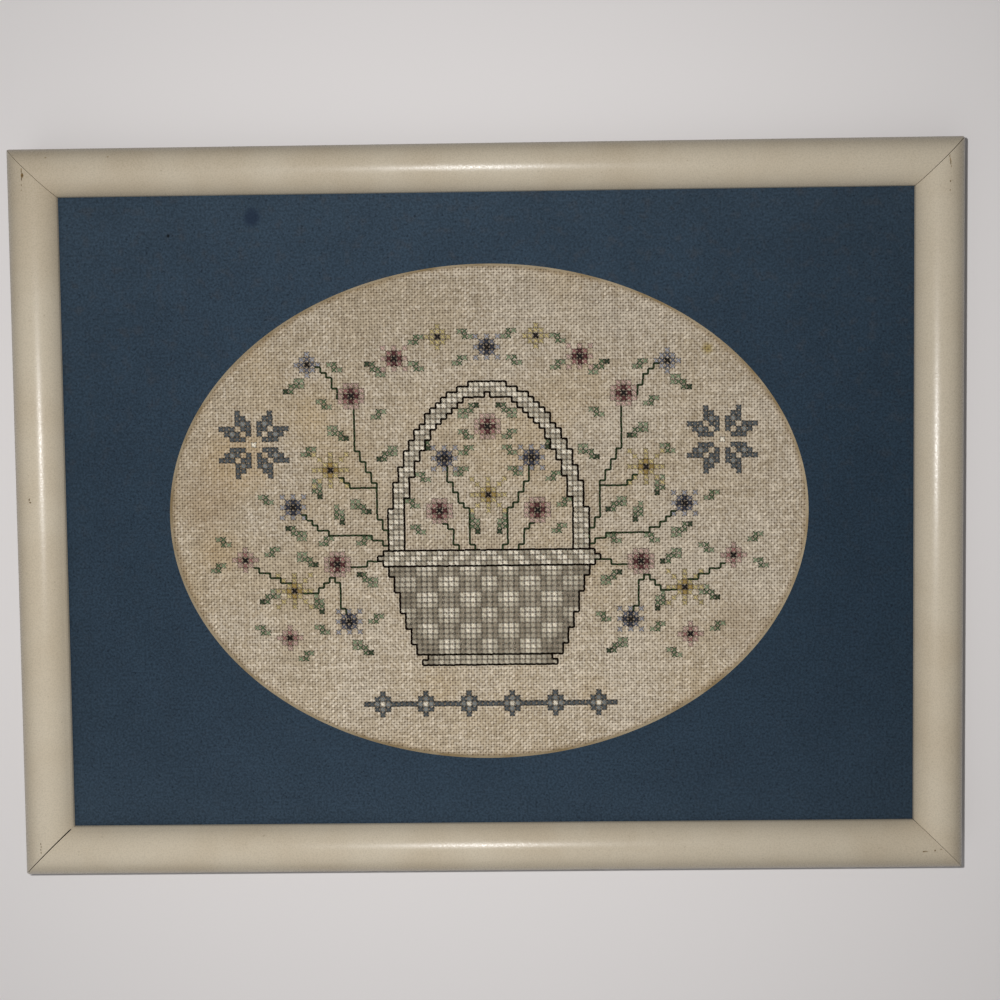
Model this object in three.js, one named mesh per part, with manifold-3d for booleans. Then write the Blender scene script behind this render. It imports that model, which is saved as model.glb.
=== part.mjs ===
// A cross-stitch picture in a rounded wood frame, lying on its back.
// Millimetres. +X is the picture's width, +Y its top, +Z out of its face.
// The origin is the middle of the frame's back, on the plane that the rails lie on.

import * as THREE from 'three';
import { mergeVertices } from 'three/addons/utils/BufferGeometryUtils.js';
import Module from 'manifold-3d';

// ---------------------------------------------------------------- sizes

// The sheets behind the lip are one standard size, 12 by 9 inches.
const SHEET_WIDTH = 304.8;
const SHEET_HEIGHT = 228.6;

// A rail's section: u runs from its outer side to its sight edge, z from its back to its crown.
const RAIL_WIDTH = 15.6;
const RAIL_DEPTH = 19.0;
const CROWN_OFFSET = 6.9; // the crown's u, nearer the outer side
const SIDE_HEIGHT = 15.0; // where the flat outer side ends and the rounded face starts
const SIGHT_HEIGHT = 12.2; // where the rounded face ends at the sight edge
const LIP_WIDTH = 4.2;
const RABBET_DEPTH = 11.0;
const SHEET_CLEARANCE = 1.2; // between a sheet's edge and the rabbet's side

// The layers in the rabbet, from the face to the back.
const MAT_THICKNESS = 1.0;
const LINEN_THICKNESS = 1.0;
const BOARD_THICKNESS = 3.0;
const SEAT_GAP = 0.3; // between pieces that touch

// The mat's window, measured at the mat's face. It is cut a little below the middle.
const WINDOW_WIDTH = 225.4;
const WINDOW_HEIGHT = 174.6;
const WINDOW_DROP = 0.8;
const BEVEL_WIDTH = 0.5;

// How finely round stretches are cut.
const OUTER_ARC_STEPS = 10;
const INNER_ARC_STEPS = 16;
const WINDOW_STEPS = 120;

const RABBET_WIDTH = RAIL_WIDTH - LIP_WIDTH;
const OUTER_WIDTH = SHEET_WIDTH + 2 * (SHEET_CLEARANCE + RABBET_WIDTH);
const OUTER_HEIGHT = SHEET_HEIGHT + 2 * (SHEET_CLEARANCE + RABBET_WIDTH);

// ---------------------------------------------------------------- materials

function makeMaterial(colour, roughness) {
  return new THREE.MeshStandardMaterial({ color: colour, roughness, metalness: 0 });
}

const creamPaint = makeMaterial(0xd8c8ac, 0.4);
const blueCard = makeMaterial(0x35485a, 0.85);
const naturalLinen = makeMaterial(0xbfa986, 0.9);
const greyBoard = makeMaterial(0x9a8a72, 0.9);

// ---------------------------------------------------------------- solids

const wasm = await Module();
wasm.setup();

function toSolid(geometry) {
  const bare = geometry.clone();
  bare.deleteAttribute('normal');
  bare.deleteAttribute('uv');
  const merged = mergeVertices(bare);
  return new wasm.Manifold(new wasm.Mesh({
    numProp: 3,
    vertProperties: merged.attributes.position.array,
    triVerts: new Uint32Array(merged.index.array),
  }));
}

function toGeometry(solid) {
  const mesh = solid.getMesh();
  const geometry = new THREE.BufferGeometry();
  geometry.setAttribute('position', new THREE.BufferAttribute(mesh.vertProperties, 3));
  geometry.setIndex(new THREE.BufferAttribute(mesh.triVerts, 1));
  return geometry;
}

// The radius of an arc that starts level and falls by drop over span.
function fallingArcRadius(span, drop) {
  return (span ** 2 + drop ** 2) / (2 * drop);
}

// The rail's section. Its rounded face is two arcs that meet level at the crown:
// a short one down to the outer side, and a long one down to the sight edge.
function railSection() {
  const innerSpan = RAIL_WIDTH - CROWN_OFFSET;
  const innerRadius = fallingArcRadius(innerSpan, RAIL_DEPTH - SIGHT_HEIGHT);
  const outerRadius = fallingArcRadius(CROWN_OFFSET, RAIL_DEPTH - SIDE_HEIGHT);
  const innerTurn = Math.asin(innerSpan / innerRadius);
  const outerTurn = Math.asin(CROWN_OFFSET / outerRadius);

  const points = [
    new THREE.Vector2(0, 0),
    new THREE.Vector2(RABBET_WIDTH, 0),
    new THREE.Vector2(RABBET_WIDTH, RABBET_DEPTH),
    new THREE.Vector2(RAIL_WIDTH, RABBET_DEPTH),
  ];
  const addArcPoint = (radius, turn) => points.push(new THREE.Vector2(
    CROWN_OFFSET + radius * Math.sin(turn),
    RAIL_DEPTH - radius * (1 - Math.cos(turn)),
  ));
  for (let i = 0; i < INNER_ARC_STEPS; i += 1) {
    addArcPoint(innerRadius, innerTurn * (1 - i / INNER_ARC_STEPS));
  }
  for (let i = 0; i <= OUTER_ARC_STEPS; i += 1) {
    addArcPoint(outerRadius, -outerTurn * (i / OUTER_ARC_STEPS));
  }
  return new THREE.Shape(points);
}

// A rail along +X whose outer side faces -Y at outerDistance from the origin.
// Its ends are cut at 45 degrees, each half a seat gap short of the mitre's plane.
function makeRail(name, length, outerDistance, quarterTurns) {
  const geometry = new THREE.ExtrudeGeometry(railSection(), {
    depth: 2, steps: 1, bevelEnabled: false,
  });
  geometry.translate(0, 0, -1); // the two ends are now at -1 and +1
  const position = geometry.attributes.position;
  const mitreRelief = SEAT_GAP * Math.SQRT1_2;
  for (let i = 0; i < position.count; i += 1) {
    const u = position.getX(i);
    const z = position.getY(i);
    const end = Math.sign(position.getZ(i));
    position.setXYZ(i, end * (length / 2 - u - mitreRelief), u - outerDistance, z);
  }
  const rail = new THREE.Mesh(geometry, creamPaint);
  rail.name = name;
  rail.rotation.z = quarterTurns * Math.PI / 2;
  return rail;
}

// A closed tapered plug with an elliptical section, to cut the mat's window.
function ellipticalPlug(lower, upper) {
  const vertices = [];
  const triangles = [];
  for (const ring of [lower, upper]) {
    for (let i = 0; i < WINDOW_STEPS; i += 1) {
      const angle = (2 * Math.PI * i) / WINDOW_STEPS;
      vertices.push(
        ring.a * Math.cos(angle),
        ring.b * Math.sin(angle) - WINDOW_DROP,
        ring.z,
      );
    }
  }
  const lowerCentre = 2 * WINDOW_STEPS;
  const upperCentre = lowerCentre + 1;
  vertices.push(0, -WINDOW_DROP, lower.z, 0, -WINDOW_DROP, upper.z);
  for (let i = 0; i < WINDOW_STEPS; i += 1) {
    const next = (i + 1) % WINDOW_STEPS;
    triangles.push(i, next, WINDOW_STEPS + next);
    triangles.push(i, WINDOW_STEPS + next, WINDOW_STEPS + i);
    triangles.push(lowerCentre, next, i);
    triangles.push(upperCentre, WINDOW_STEPS + i, WINDOW_STEPS + next);
  }
  const geometry = new THREE.BufferGeometry();
  geometry.setAttribute('position', new THREE.Float32BufferAttribute(vertices, 3));
  geometry.setIndex(triangles);
  return geometry;
}

// A flat sheet of the standard size, its upper face at topZ.
function sheetGeometry(thickness, topZ) {
  const geometry = new THREE.BoxGeometry(SHEET_WIDTH, SHEET_HEIGHT, thickness);
  geometry.translate(0, 0, topZ - thickness / 2);
  return geometry;
}

// The mat's window slopes inwards from the face to the back, so its bevel shows.
function makeMat(topZ) {
  const slope = BEVEL_WIDTH / MAT_THICKNESS;
  const overshoot = 1.0; // the plug runs this far past both faces
  const plugRing = (z) => ({
    a: WINDOW_WIDTH / 2 + (z - topZ) * slope,
    b: WINDOW_HEIGHT / 2 + (z - topZ) * slope,
    z,
  });
  const plug = toSolid(ellipticalPlug(
    plugRing(topZ - MAT_THICKNESS - overshoot),
    plugRing(topZ + overshoot),
  ));
  const card = toSolid(sheetGeometry(MAT_THICKNESS, topZ));
  const mat = new THREE.Mesh(toGeometry(card.subtract(plug)), blueCard);
  mat.name = 'mat';
  return mat;
}

function makeSheet(name, thickness, topZ, material) {
  const sheet = new THREE.Mesh(sheetGeometry(thickness, topZ), material);
  sheet.name = name;
  return sheet;
}

// ---------------------------------------------------------------- the picture

const picture = new THREE.Group();

const frame = new THREE.Group();
frame.add(makeRail('rail_bottom', OUTER_WIDTH, OUTER_HEIGHT / 2, 0));
frame.add(makeRail('rail_right', OUTER_HEIGHT, OUTER_WIDTH / 2, 1));
frame.add(makeRail('rail_top', OUTER_WIDTH, OUTER_HEIGHT / 2, 2));
frame.add(makeRail('rail_left', OUTER_HEIGHT, OUTER_WIDTH / 2, 3));
picture.add(frame);

const layers = new THREE.Group();
const matTop = RABBET_DEPTH - SEAT_GAP;
const linenTop = matTop - MAT_THICKNESS - SEAT_GAP;
const boardTop = linenTop - LINEN_THICKNESS - SEAT_GAP;
layers.add(makeMat(matTop));
layers.add(makeSheet('linen', LINEN_THICKNESS, linenTop, naturalLinen));
layers.add(makeSheet('backing_board', BOARD_THICKNESS, boardTop, greyBoard));
picture.add(layers);

export default picture;
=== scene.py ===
"""A framed cross-stitch picture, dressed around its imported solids.

Sizes are metres. +X is the picture's width, +Y its top edge and +Z out of its face.
The frame lies on its back on the floor, which is the plane z = 0.
"""

import logging
import math
from collections.abc import Callable, Iterable
from dataclasses import dataclass, field, replace
from enum import Enum

import bmesh
import bpy
import numpy as np
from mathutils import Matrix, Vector


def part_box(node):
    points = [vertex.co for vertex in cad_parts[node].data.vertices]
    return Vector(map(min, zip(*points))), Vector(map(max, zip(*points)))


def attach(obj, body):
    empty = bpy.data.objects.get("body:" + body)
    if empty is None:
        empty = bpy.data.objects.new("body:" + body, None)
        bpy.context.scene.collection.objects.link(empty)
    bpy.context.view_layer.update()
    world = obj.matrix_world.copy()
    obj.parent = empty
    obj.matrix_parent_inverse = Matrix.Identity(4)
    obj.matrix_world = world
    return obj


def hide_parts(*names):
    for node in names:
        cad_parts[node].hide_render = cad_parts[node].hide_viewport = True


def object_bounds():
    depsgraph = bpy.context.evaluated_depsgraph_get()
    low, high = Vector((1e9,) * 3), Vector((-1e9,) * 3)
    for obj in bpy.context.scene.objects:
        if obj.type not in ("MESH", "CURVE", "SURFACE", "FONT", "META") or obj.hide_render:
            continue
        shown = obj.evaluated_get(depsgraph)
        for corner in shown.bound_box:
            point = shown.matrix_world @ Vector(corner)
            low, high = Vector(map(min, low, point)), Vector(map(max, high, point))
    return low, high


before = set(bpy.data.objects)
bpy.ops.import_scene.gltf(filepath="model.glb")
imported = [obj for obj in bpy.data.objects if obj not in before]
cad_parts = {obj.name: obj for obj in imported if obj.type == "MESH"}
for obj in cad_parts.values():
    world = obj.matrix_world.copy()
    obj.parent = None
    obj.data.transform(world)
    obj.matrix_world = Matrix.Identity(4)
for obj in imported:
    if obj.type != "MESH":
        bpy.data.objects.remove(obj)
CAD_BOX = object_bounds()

MM = 0.001
QUARTER_TURN = math.pi / 2
BODY = "root"
FINE = 1e-6  # the modelling tolerance of every merge and cut
FACING = 0.9  # the least cosine at which a face still faces a direction

log = logging.getLogger("picture")

Place = tuple[float, float, float]
Colour = tuple[float, float, float]
Cell = tuple[int, int]
Ramp = tuple[float, float, float, float]  # from where, to where, and the numbers at both ends
Heights = tuple[float, float]  # of a stitch's middle and its flanks


# ---------------------------------------------------------------- choices


class Side(Enum):
    """The frame's sides: the node's name and its quarter turns from the bottom rail."""

    BOTTOM = ("rail_bottom", 0)
    RIGHT = ("rail_right", 1)
    TOP = ("rail_top", 2)
    LEFT = ("rail_left", 3)

    @property
    def node(self) -> str:
        """The name of the side's node."""
        return self.value[0]

    @property
    def quarter_turns(self) -> int:
        """Quarter turns anticlockwise from the bottom rail."""
        return self.value[1]

    @property
    def outward(self) -> Vector:
        """The direction that the side faces, away from the picture."""
        angle = (self.quarter_turns - 1) * QUARTER_TURN
        return Vector((round(math.cos(angle)), round(math.sin(angle)), 0))


class Corner(Enum):
    """The frame's corners, as signs along the width and the height."""

    TOP_LEFT = (-1, 1)
    TOP_RIGHT = (1, 1)
    BOTTOM_RIGHT = (1, -1)
    BOTTOM_LEFT = (-1, -1)


class Ring(Enum):
    """Which end of the window's cutter a ring is at."""

    LOWER = -1
    UPPER = 1


class Thread(Enum):
    """The flosses, each with its colour as the eye reads it, in 8-bit sRGB."""

    WHITE = (238, 228, 208)
    PEARL = (212, 202, 181)
    SILVER = (184, 174, 154)
    SMOKE = (152, 142, 123)
    BLUSH = (190, 160, 148)
    ROSE = (150, 102, 98)
    WINE = (84, 42, 42)
    SKY = (150, 150, 156)
    DENIM = (94, 96, 108)
    NAVY = (46, 48, 60)
    STRAW = (192, 174, 120)
    GOLD = (160, 134, 74)
    SAGE = (128, 142, 110)
    FERN = (78, 98, 66)
    MOSS = (48, 62, 38)
    SLATE = (86, 90, 91)
    MIST = (134, 136, 133)
    INK = (18, 7, 1)

    @property
    def label(self) -> str:
        """The floss's name in small letters."""
        return self.name.lower()


# The flosses that are sewn with a single strand.
FINE_FLOSS = (
    Thread.BLUSH, Thread.ROSE, Thread.SKY, Thread.DENIM, Thread.STRAW, Thread.SAGE, Thread.FERN,
)


class Edge(Enum):
    """Which way an outline stitch runs from its lattice point."""

    ACROSS = (1, 0)
    UP = (0, 1)


# ---------------------------------------------------------------- the bench


class Bench:
    """The few modelling moves that every piece is made with."""

    @staticmethod
    def rest() -> None:
        """Leave edit mode and deselect every object."""
        active = bpy.context.view_layer.objects.active
        if active is not None and active.mode != "OBJECT":
            bpy.ops.object.mode_set(mode="OBJECT")
        bpy.ops.object.select_all(action="DESELECT")

    @staticmethod
    def take(piece: bpy.types.Object) -> None:
        """Select one object alone and make it the active one.

        Args:
            piece: The object.
        """
        Bench.rest()
        piece.select_set(True)
        bpy.context.view_layer.objects.active = piece

    @staticmethod
    def name_new(name: str) -> bpy.types.Object:
        """Name the object just added and settle its place into its mesh.

        Args:
            name: The object's and its mesh's name.

        Returns:
            The object, at the origin, unturned and unscaled.
        """
        piece = bpy.context.object
        piece.name = name
        piece.data.name = name
        bpy.ops.object.transform_apply(location=True, rotation=True, scale=True)
        return piece

    @staticmethod
    def edit(piece: bpy.types.Object) -> None:
        """Open a piece in edit mode with all of it selected.

        Args:
            piece: The piece.
        """
        Bench.take(piece)
        bpy.ops.object.mode_set(mode="EDIT")
        bpy.ops.mesh.select_all(action="SELECT")

    @staticmethod
    def pick_points(piece: bpy.types.Object, wanted: Callable[[Vector], bool]) -> None:
        """Select the open piece's points whose place passes a test."""
        Bench._pick(piece, "VERT", lambda point: wanted(point.co))

    @staticmethod
    def pick_faces(piece: bpy.types.Object, wanted: Callable[[Vector, Vector], bool]) -> None:
        """Select the open piece's faces whose middle and normal pass a test."""
        Bench._pick(piece, "FACE", lambda face: wanted(face.calc_center_median(), face.normal))

    @staticmethod
    def _pick(piece: bpy.types.Object, kind: str, wanted: Callable[[object], bool]) -> None:
        """Select the open piece's points or faces that pass a test.

        Args:
            piece: The piece that is open in edit mode.
            kind: VERT for points and FACE for faces.
            wanted: The test.
        """
        bpy.ops.mesh.select_mode(type=kind)
        bpy.ops.mesh.select_all(action="DESELECT")
        drawn = bmesh.from_edit_mesh(piece.data)
        points = kind == "VERT"
        for part in drawn.verts if points else drawn.faces:
            if wanted(part):
                part.select_set(True)
        if points:
            drawn.select_flush(True)
        bmesh.update_edit_mesh(piece.data)

    @staticmethod
    def cut(through: Vector, facing: Vector, clear: bool = False) -> None:
        """Bisect the whole open piece by a plane.

        Args:
            through: A point on the plane.
            facing: The plane's normal.
            clear: Whether what lies in front of the plane goes, and the cut is filled.
        """
        bpy.ops.mesh.select_all(action="SELECT")
        bpy.ops.mesh.bisect(
            plane_co=through, plane_no=facing, use_fill=clear, clear_outer=clear, threshold=FINE
        )

    @staticmethod
    def give_faces(piece: bpy.types.Object, material: bpy.types.Material) -> None:
        """Give the open piece's selected faces a material.

        Args:
            piece: The piece, which gains the material's slot if it has none.
            material: The material.
        """
        names = [slot.name for slot in piece.material_slots]
        if material.name not in names:
            piece.data.materials.append(material)
            names.append(material.name)
        piece.active_material_index = names.index(material.name)
        bpy.ops.object.material_slot_assign()

    @staticmethod
    def finish(piece: bpy.types.Object, kind: str, **settings: object) -> None:
        """Add a modifier to a piece and apply it.

        Args:
            piece: The piece.
            kind: The modifier's type.
            settings: The modifier's settings.
        """
        Bench.take(piece)
        modifier = piece.modifiers.new(kind.lower(), kind)
        for name, value in settings.items():
            setattr(modifier, name, value)
        bpy.ops.object.modifier_apply(modifier=modifier.name)

    @staticmethod
    def carve(piece: bpy.types.Object, cutter: bpy.types.Object) -> None:
        """Cut a piece with another object.

        Args:
            piece: The piece.
            cutter: What cuts it. It leaves its finish in the cut and goes.
        """
        Bench.finish(
            piece, "BOOLEAN",
            operation="DIFFERENCE", object=cutter, solver="EXACT", material_mode="TRANSFER",
        )
        bpy.data.objects.remove(cutter)

    @staticmethod
    def copy(piece: bpy.types.Object, name: str) -> bpy.types.Object:
        """Copy a piece with a mesh of its own.

        Args:
            piece: What is copied.
            name: The copy's name.

        Returns:
            The copy, selected and active.
        """
        Bench.take(piece)
        bpy.ops.object.duplicate()
        return Bench.name_new(name)

    @staticmethod
    def smooth(piece: bpy.types.Object, degrees: float) -> None:
        """Shade a piece smooth where its faces meet at less than an angle."""
        Bench.take(piece)
        bpy.ops.object.shade_smooth_by_angle(angle=math.radians(degrees))

    @staticmethod
    def settle(piece: bpy.types.Object, slot: str, *nodes: str) -> None:
        """Hang a finished piece on the body.

        Args:
            piece: The piece.
            slot: Its material slot; not used.
            nodes: The nodes that it stands for.
        """
        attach(piece, BODY)
        if nodes:
            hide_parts(*nodes)
        piece.data.calc_loop_triangles()
        log.info("%s: %d triangles", piece.name, len(piece.data.loop_triangles))


class SectionPen:
    """Draws a closed outline across the X axis, point by point, as a chain of edges."""

    def __init__(self, name: str, x: float, start: tuple[float, float]) -> None:
        """Start the outline from one point.

        Args:
            name: The name of the object drawn.
            x: Where the outline's plane stands along X.
            start: The first point's place along Y and Z.
        """
        Bench.rest()
        self.x = x
        self.start = start
        self.here = start
        bpy.ops.mesh.primitive_plane_add(size=MM, location=(x, *start))
        self.piece = Bench.name_new(name)
        Bench.edit(self.piece)
        bpy.ops.mesh.merge(type="CENTER")

    def line_to(self, end: tuple[float, float]) -> None:
        """Extrude a straight edge.

        Args:
            end: Where it ends.
        """
        step = (0, end[0] - self.here[0], end[1] - self.here[1])
        bpy.ops.mesh.extrude_region_move(TRANSFORM_OT_translate={"value": step})
        self.here = end

    def arc_to(self, end: tuple[float, float], centre: tuple[float, float], steps: int) -> None:
        """Spin an arc round a centre, anticlockwise as seen from +X.

        Args:
            end: Where the arc ends.
            centre: The arc's centre.
            steps: How many edges it has.
        """
        first = math.atan2(self.here[1] - centre[1], self.here[0] - centre[0])
        last = math.atan2(end[1] - centre[1], end[0] - centre[0])
        bpy.ops.mesh.spin(steps=steps, angle=first - last, center=(self.x, *centre), axis=(1, 0, 0))
        self.here = end

    def close(self) -> bpy.types.Object:
        """Join the outline's end to its start and fill it.

        Returns:
            The object, still open in edit mode.
        """
        self.line_to(self.start)
        bpy.ops.mesh.select_all(action="SELECT")
        bpy.ops.mesh.remove_doubles(threshold=FINE)
        bpy.ops.mesh.select_all(action="SELECT")
        bpy.ops.mesh.edge_face_add()
        return self.piece


# ---------------------------------------------------------------- node sheets


def linear(colour: Colour) -> tuple[float, float, float, float]:
    """Turn an 8-bit sRGB colour into the linear RGBA that shaders read, by the standard curve.

    Args:
        colour: Red, green and blue from 0 to 255.

    Returns:
        Linear red, green, blue and an alpha of 1.
    """
    parts = []
    for channel in colour:
        share = channel / 255
        parts.append(share / 12.92 if share <= 0.04045 else ((share + 0.055) / 1.055) ** 2.4)
    return (*parts, 1.0)


class Term:
    """A number in a node sheet, so that a pattern's formula reads as arithmetic."""

    def __init__(self, sheet: "NodeSheet", socket: bpy.types.NodeSocket) -> None:
        """Hold the socket that the number comes out of."""
        self.sheet = sheet
        self.socket = socket

    def __add__(self, other: "Term | float") -> "Term":
        """Add."""
        return self.sheet.math("ADD", self, other)

    def __radd__(self, other: float) -> "Term":
        """Add to a plain number."""
        return self.sheet.math("ADD", other, self)

    def __sub__(self, other: "Term | float") -> "Term":
        """Subtract."""
        return self.sheet.math("SUBTRACT", self, other)

    def __rsub__(self, other: float) -> "Term":
        """Subtract from a plain number."""
        return self.sheet.math("SUBTRACT", other, self)

    def __mul__(self, other: "Term | float") -> "Term":
        """Multiply."""
        return self.sheet.math("MULTIPLY", self, other)

    def __truediv__(self, other: "Term | float") -> "Term":
        """Divide."""
        return self.sheet.math("DIVIDE", self, other)


class NodeSheet:
    """A node tree, with the few nodes that the finishes and the studio use.

    Where a pattern is drawn from x and y alone, a constant third number gives it noise of its own.
    """

    def __init__(self, owner: bpy.types.ID) -> None:
        """Start an empty sheet.

        Args:
            owner: The material or world that it belongs to.
        """
        self.owner = owner
        owner.use_nodes = True
        self.tree = owner.node_tree
        self.tree.nodes.clear()

    @classmethod
    def for_material(cls, name: str) -> "NodeSheet":
        """Start an empty sheet on a new material."""
        return cls(bpy.data.materials.new(name))

    def feed(self, socket: bpy.types.NodeSocket, value: object) -> None:
        """Link into a socket, or write a constant on it.

        Args:
            socket: The socket.
            value: A term, a socket, a number, an 8-bit colour or a linear RGBA one.
        """
        if isinstance(value, Term):
            value = value.socket
        if isinstance(value, bpy.types.NodeSocket):
            self.tree.links.new(value, socket)
        elif isinstance(value, tuple) and len(value) == 3:
            socket.default_value = linear(value)
        else:
            socket.default_value = value

    def node(self, kind: str, feeds: dict | None = None, **settings: object) -> bpy.types.Node:
        """Add a node.

        Args:
            kind: Its type.
            feeds: What goes into its inputs, by name or number. None leaves an input alone.
            settings: Its settings.

        Returns:
            The node.
        """
        made = self.tree.nodes.new(kind)
        for name, value in settings.items():
            setattr(made, name, value)
        for key, value in (feeds or {}).items():
            if value is not None:
                self.feed(made.inputs[key], value)
        return made

    def math(self, operation: str, *values: "Term | float") -> Term:
        """Add a Math node with its operation and its inputs in order."""
        made = self.node("ShaderNodeMath", dict(enumerate(values)), operation=operation)
        return Term(self, made.outputs[0])

    def place(self) -> tuple[bpy.types.NodeSocket, Term, Term, Term]:
        """The shaded point on the object, in metres: the vector, and its X, Y and Z."""
        point = self.node("ShaderNodeTexCoord").outputs["Object"]
        return point, *self.parts(point)

    def parts(self, vector: bpy.types.NodeSocket) -> tuple[Term, Term, Term]:
        """Split a vector into its three numbers."""
        split = self.node("ShaderNodeSeparateXYZ", {0: vector})
        return tuple(Term(self, socket) for socket in split.outputs)

    def attribute(self, name: str) -> bpy.types.Node:
        """Add the node that reads one of the mesh's own attributes."""
        return self.node("ShaderNodeAttribute", attribute_name=name)

    def vector(self, *numbers: "Term | float") -> bpy.types.NodeSocket:
        """Join two or three numbers into a vector."""
        return self.node("ShaderNodeCombineXYZ", dict(enumerate(numbers))).outputs[0]

    def length(self, x: Term, y: Term) -> Term:
        """The length of a flat vector."""
        return self.math("SQRT", self.math("POWER", x, 2.0) + self.math("POWER", y, 2.0))

    def noise(self, vector: bpy.types.NodeSocket, scale: float = 1.0, detail: float = 2.0) -> Term:
        """Smooth noise from 0 to 1, with that many features for each unit of the vector."""
        feeds = {"Vector": vector, "Scale": scale, "Detail": detail}
        return Term(self, self.node("ShaderNodeTexNoise", feeds).outputs[0])

    def chance(self, *numbers: "Term | float") -> Term:
        """An even random number from 0 to 1 for each set of two or three numbers."""
        feeds = {"Vector": self.vector(*numbers)}
        return Term(self, self.node("ShaderNodeTexWhiteNoise", feeds, noise_dimensions="3D").outputs[0])

    def ramp(self, value: Term, ramp: Ramp) -> Term:
        """Carry a number smoothly along a ramp.

        Args:
            value: The number.
            ramp: The ramp.

        Returns:
            Where the ramp carries it.
        """
        feeds = dict(zip(("Value", "From Min", "From Max", "To Min", "To Max"), (value, *ramp)))
        node = self.node("ShaderNodeMapRange", feeds, interpolation_type="SMOOTHSTEP")
        return Term(self, node.outputs[0])

    def blend(
        self, share: "Term | float", first: object, second: object, mode: str = "MIX"
    ) -> bpy.types.NodeSocket:
        """Mix two colours, with a share of the second one."""
        feeds = {0: share, 6: first, 7: second}
        return self.node("ShaderNodeMix", feeds, data_type="RGBA", blend_type=mode).outputs[2]

    def scale(self, colour: object, level: Term) -> bpy.types.NodeSocket:
        """Multiply a colour by a number."""
        return self.blend(1.0, colour, self.vector(level, level, level), "MULTIPLY")

    def shade(self, colour: object, value: Term, ramp: Ramp) -> bpy.types.NodeSocket:
        """Multiply a colour by a number carried along a ramp."""
        return self.scale(colour, self.ramp(value, ramp))

    def cover(self, colour: object, over: object, value: Term, ramp: Ramp) -> bpy.types.NodeSocket:
        """Lay a colour over another one, as thickly as a number carried along a ramp."""
        return self.blend(self.ramp(value, ramp), colour, over)

    def seen(self, *rays: str) -> Term:
        """Find whether the ray is of one of some kinds.

        Args:
            rays: The Light Path outputs of those kinds.

        Returns:
            1 where it is, and 0 otherwise.
        """
        path = self.node("ShaderNodeLightPath")
        found = Term(self, path.outputs[rays[0]])
        for ray in rays[1:]:
            found = self.math("MAXIMUM", found, path.outputs[ray])
        return found

    def bump(self, height: Term, distance: float, under: object = None) -> bpy.types.NodeSocket:
        """Turn a height from 0 to 1, which is a distance deep, into a normal on another one."""
        feeds = {"Strength": 1.0, "Distance": distance, "Height": height, "Normal": under}
        return self.node("ShaderNodeBump", feeds).outputs[0]

    def surface(
        self, colour: object, roughness: object, normal: object = None, **more: float
    ) -> bpy.types.Material:
        """Add the shader and the output.

        Args:
            colour: The base colour.
            roughness: The roughness.
            normal: The normal, if the surface has relief.
            more: Other inputs of the shader, by name with _ for a space.

        Returns:
            The finished material.
        """
        feeds = {"Base Color": colour, "Roughness": roughness, "Normal": normal}
        feeds |= {name.replace("_", " "): number for name, number in more.items()}
        shader = self.node("ShaderNodeBsdfPrincipled", feeds)
        self.node("ShaderNodeOutputMaterial", {0: shader.outputs[0]})
        return self.owner


# ---------------------------------------------------------------- finishes


@dataclass(frozen=True)
class Stain:
    """A ragged round stain. Its middle and radius are in millimetres; core is its full share."""

    x: float
    y: float
    radius: float
    colour: Colour
    strength: float
    ragged: float = 1.6
    core: float = 0.2

    def laid_on(
        self, sheet: NodeSheet, colour: object, x: Term, y: Term, cloud: Term
    ) -> bpy.types.NodeSocket:
        """Lay the stain on a colour.

        Args:
            sheet: The material's node sheet.
            colour: The clean colour.
            x: The place along the width.
            y: The place along the height.
            cloud: Noise that makes its edge ragged.

        Returns:
            The stained colour.
        """
        radius = self.radius * MM
        away = sheet.length(x - self.x * MM, y - self.y * MM) + (cloud - 0.5) * (radius * self.ragged)
        return sheet.cover(colour, self.colour, away, (radius * self.core, radius, self.strength, 0.0))


@dataclass(frozen=True)
class CreamPaint:
    """Satin cream paint on wood, with orange peel and specks, with painted shade that greys it towards
    its upper right and painted light on the right rail's foot.
    """

    cream: Colour = (203, 191, 170)
    aged: Colour = (195, 181, 158)
    speck: Colour = (140, 126, 104)
    clouds_per_metre: float = 34.0
    aging: Ramp = (0.35, 0.7, 0.0, 1.0)
    greying: Ramp = (-0.16, 0.02, 1.01, 0.885)
    right_rail: Ramp = (0.13, 0.16, 0.0, 1.0)
    right_rail_foot: Ramp = (-0.10, 0.07, 0.06, 0.0)
    specks_per_metre: float = 1150.0
    speck_cover: Ramp = (0.71, 0.79, 0.0, 0.45)
    peel_per_metre: float = 620.0
    peel_depth: float = 0.030 * MM
    grain_per_metre: float = 2300.0
    grain_tone: Ramp = (0.3, 0.7, 0.955, 1.045)
    grain_depth: float = 0.026 * MM
    roughness: Ramp = (0.3, 0.7, 0.24, 0.35)
    gloss: float = 0.3

    def make(self) -> bpy.types.Material:
        """Build the material.

        Returns:
            The material.
        """
        sheet = NodeSheet.for_material("cream_paint")
        point, x, y, _ = sheet.place()
        cloud = sheet.noise(point, self.clouds_per_metre, 4.0)
        colour = sheet.cover(self.cream, self.aged, cloud, self.aging)
        grain = sheet.noise(point, self.grain_per_metre)
        colour = sheet.shade(colour, grain, self.grain_tone)
        # Painted shade darkens the paint towards the upper right; painted light brightens the right rail
        # towards its foot.
        foot = sheet.ramp(x, self.right_rail) * sheet.ramp(y, self.right_rail_foot)
        colour = sheet.scale(colour, sheet.ramp(x + y, self.greying) + foot)
        specks = sheet.noise(point, self.specks_per_metre, 1.0)
        colour = sheet.cover(colour, self.speck, specks, self.speck_cover)
        normal = sheet.bump(sheet.noise(point, self.peel_per_metre), self.peel_depth)
        normal = sheet.bump(grain, self.grain_depth, normal)
        roughness = sheet.ramp(grain, self.roughness)
        return sheet.surface(colour, roughness, normal, Specular_IOR_Level=self.gloss)


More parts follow.
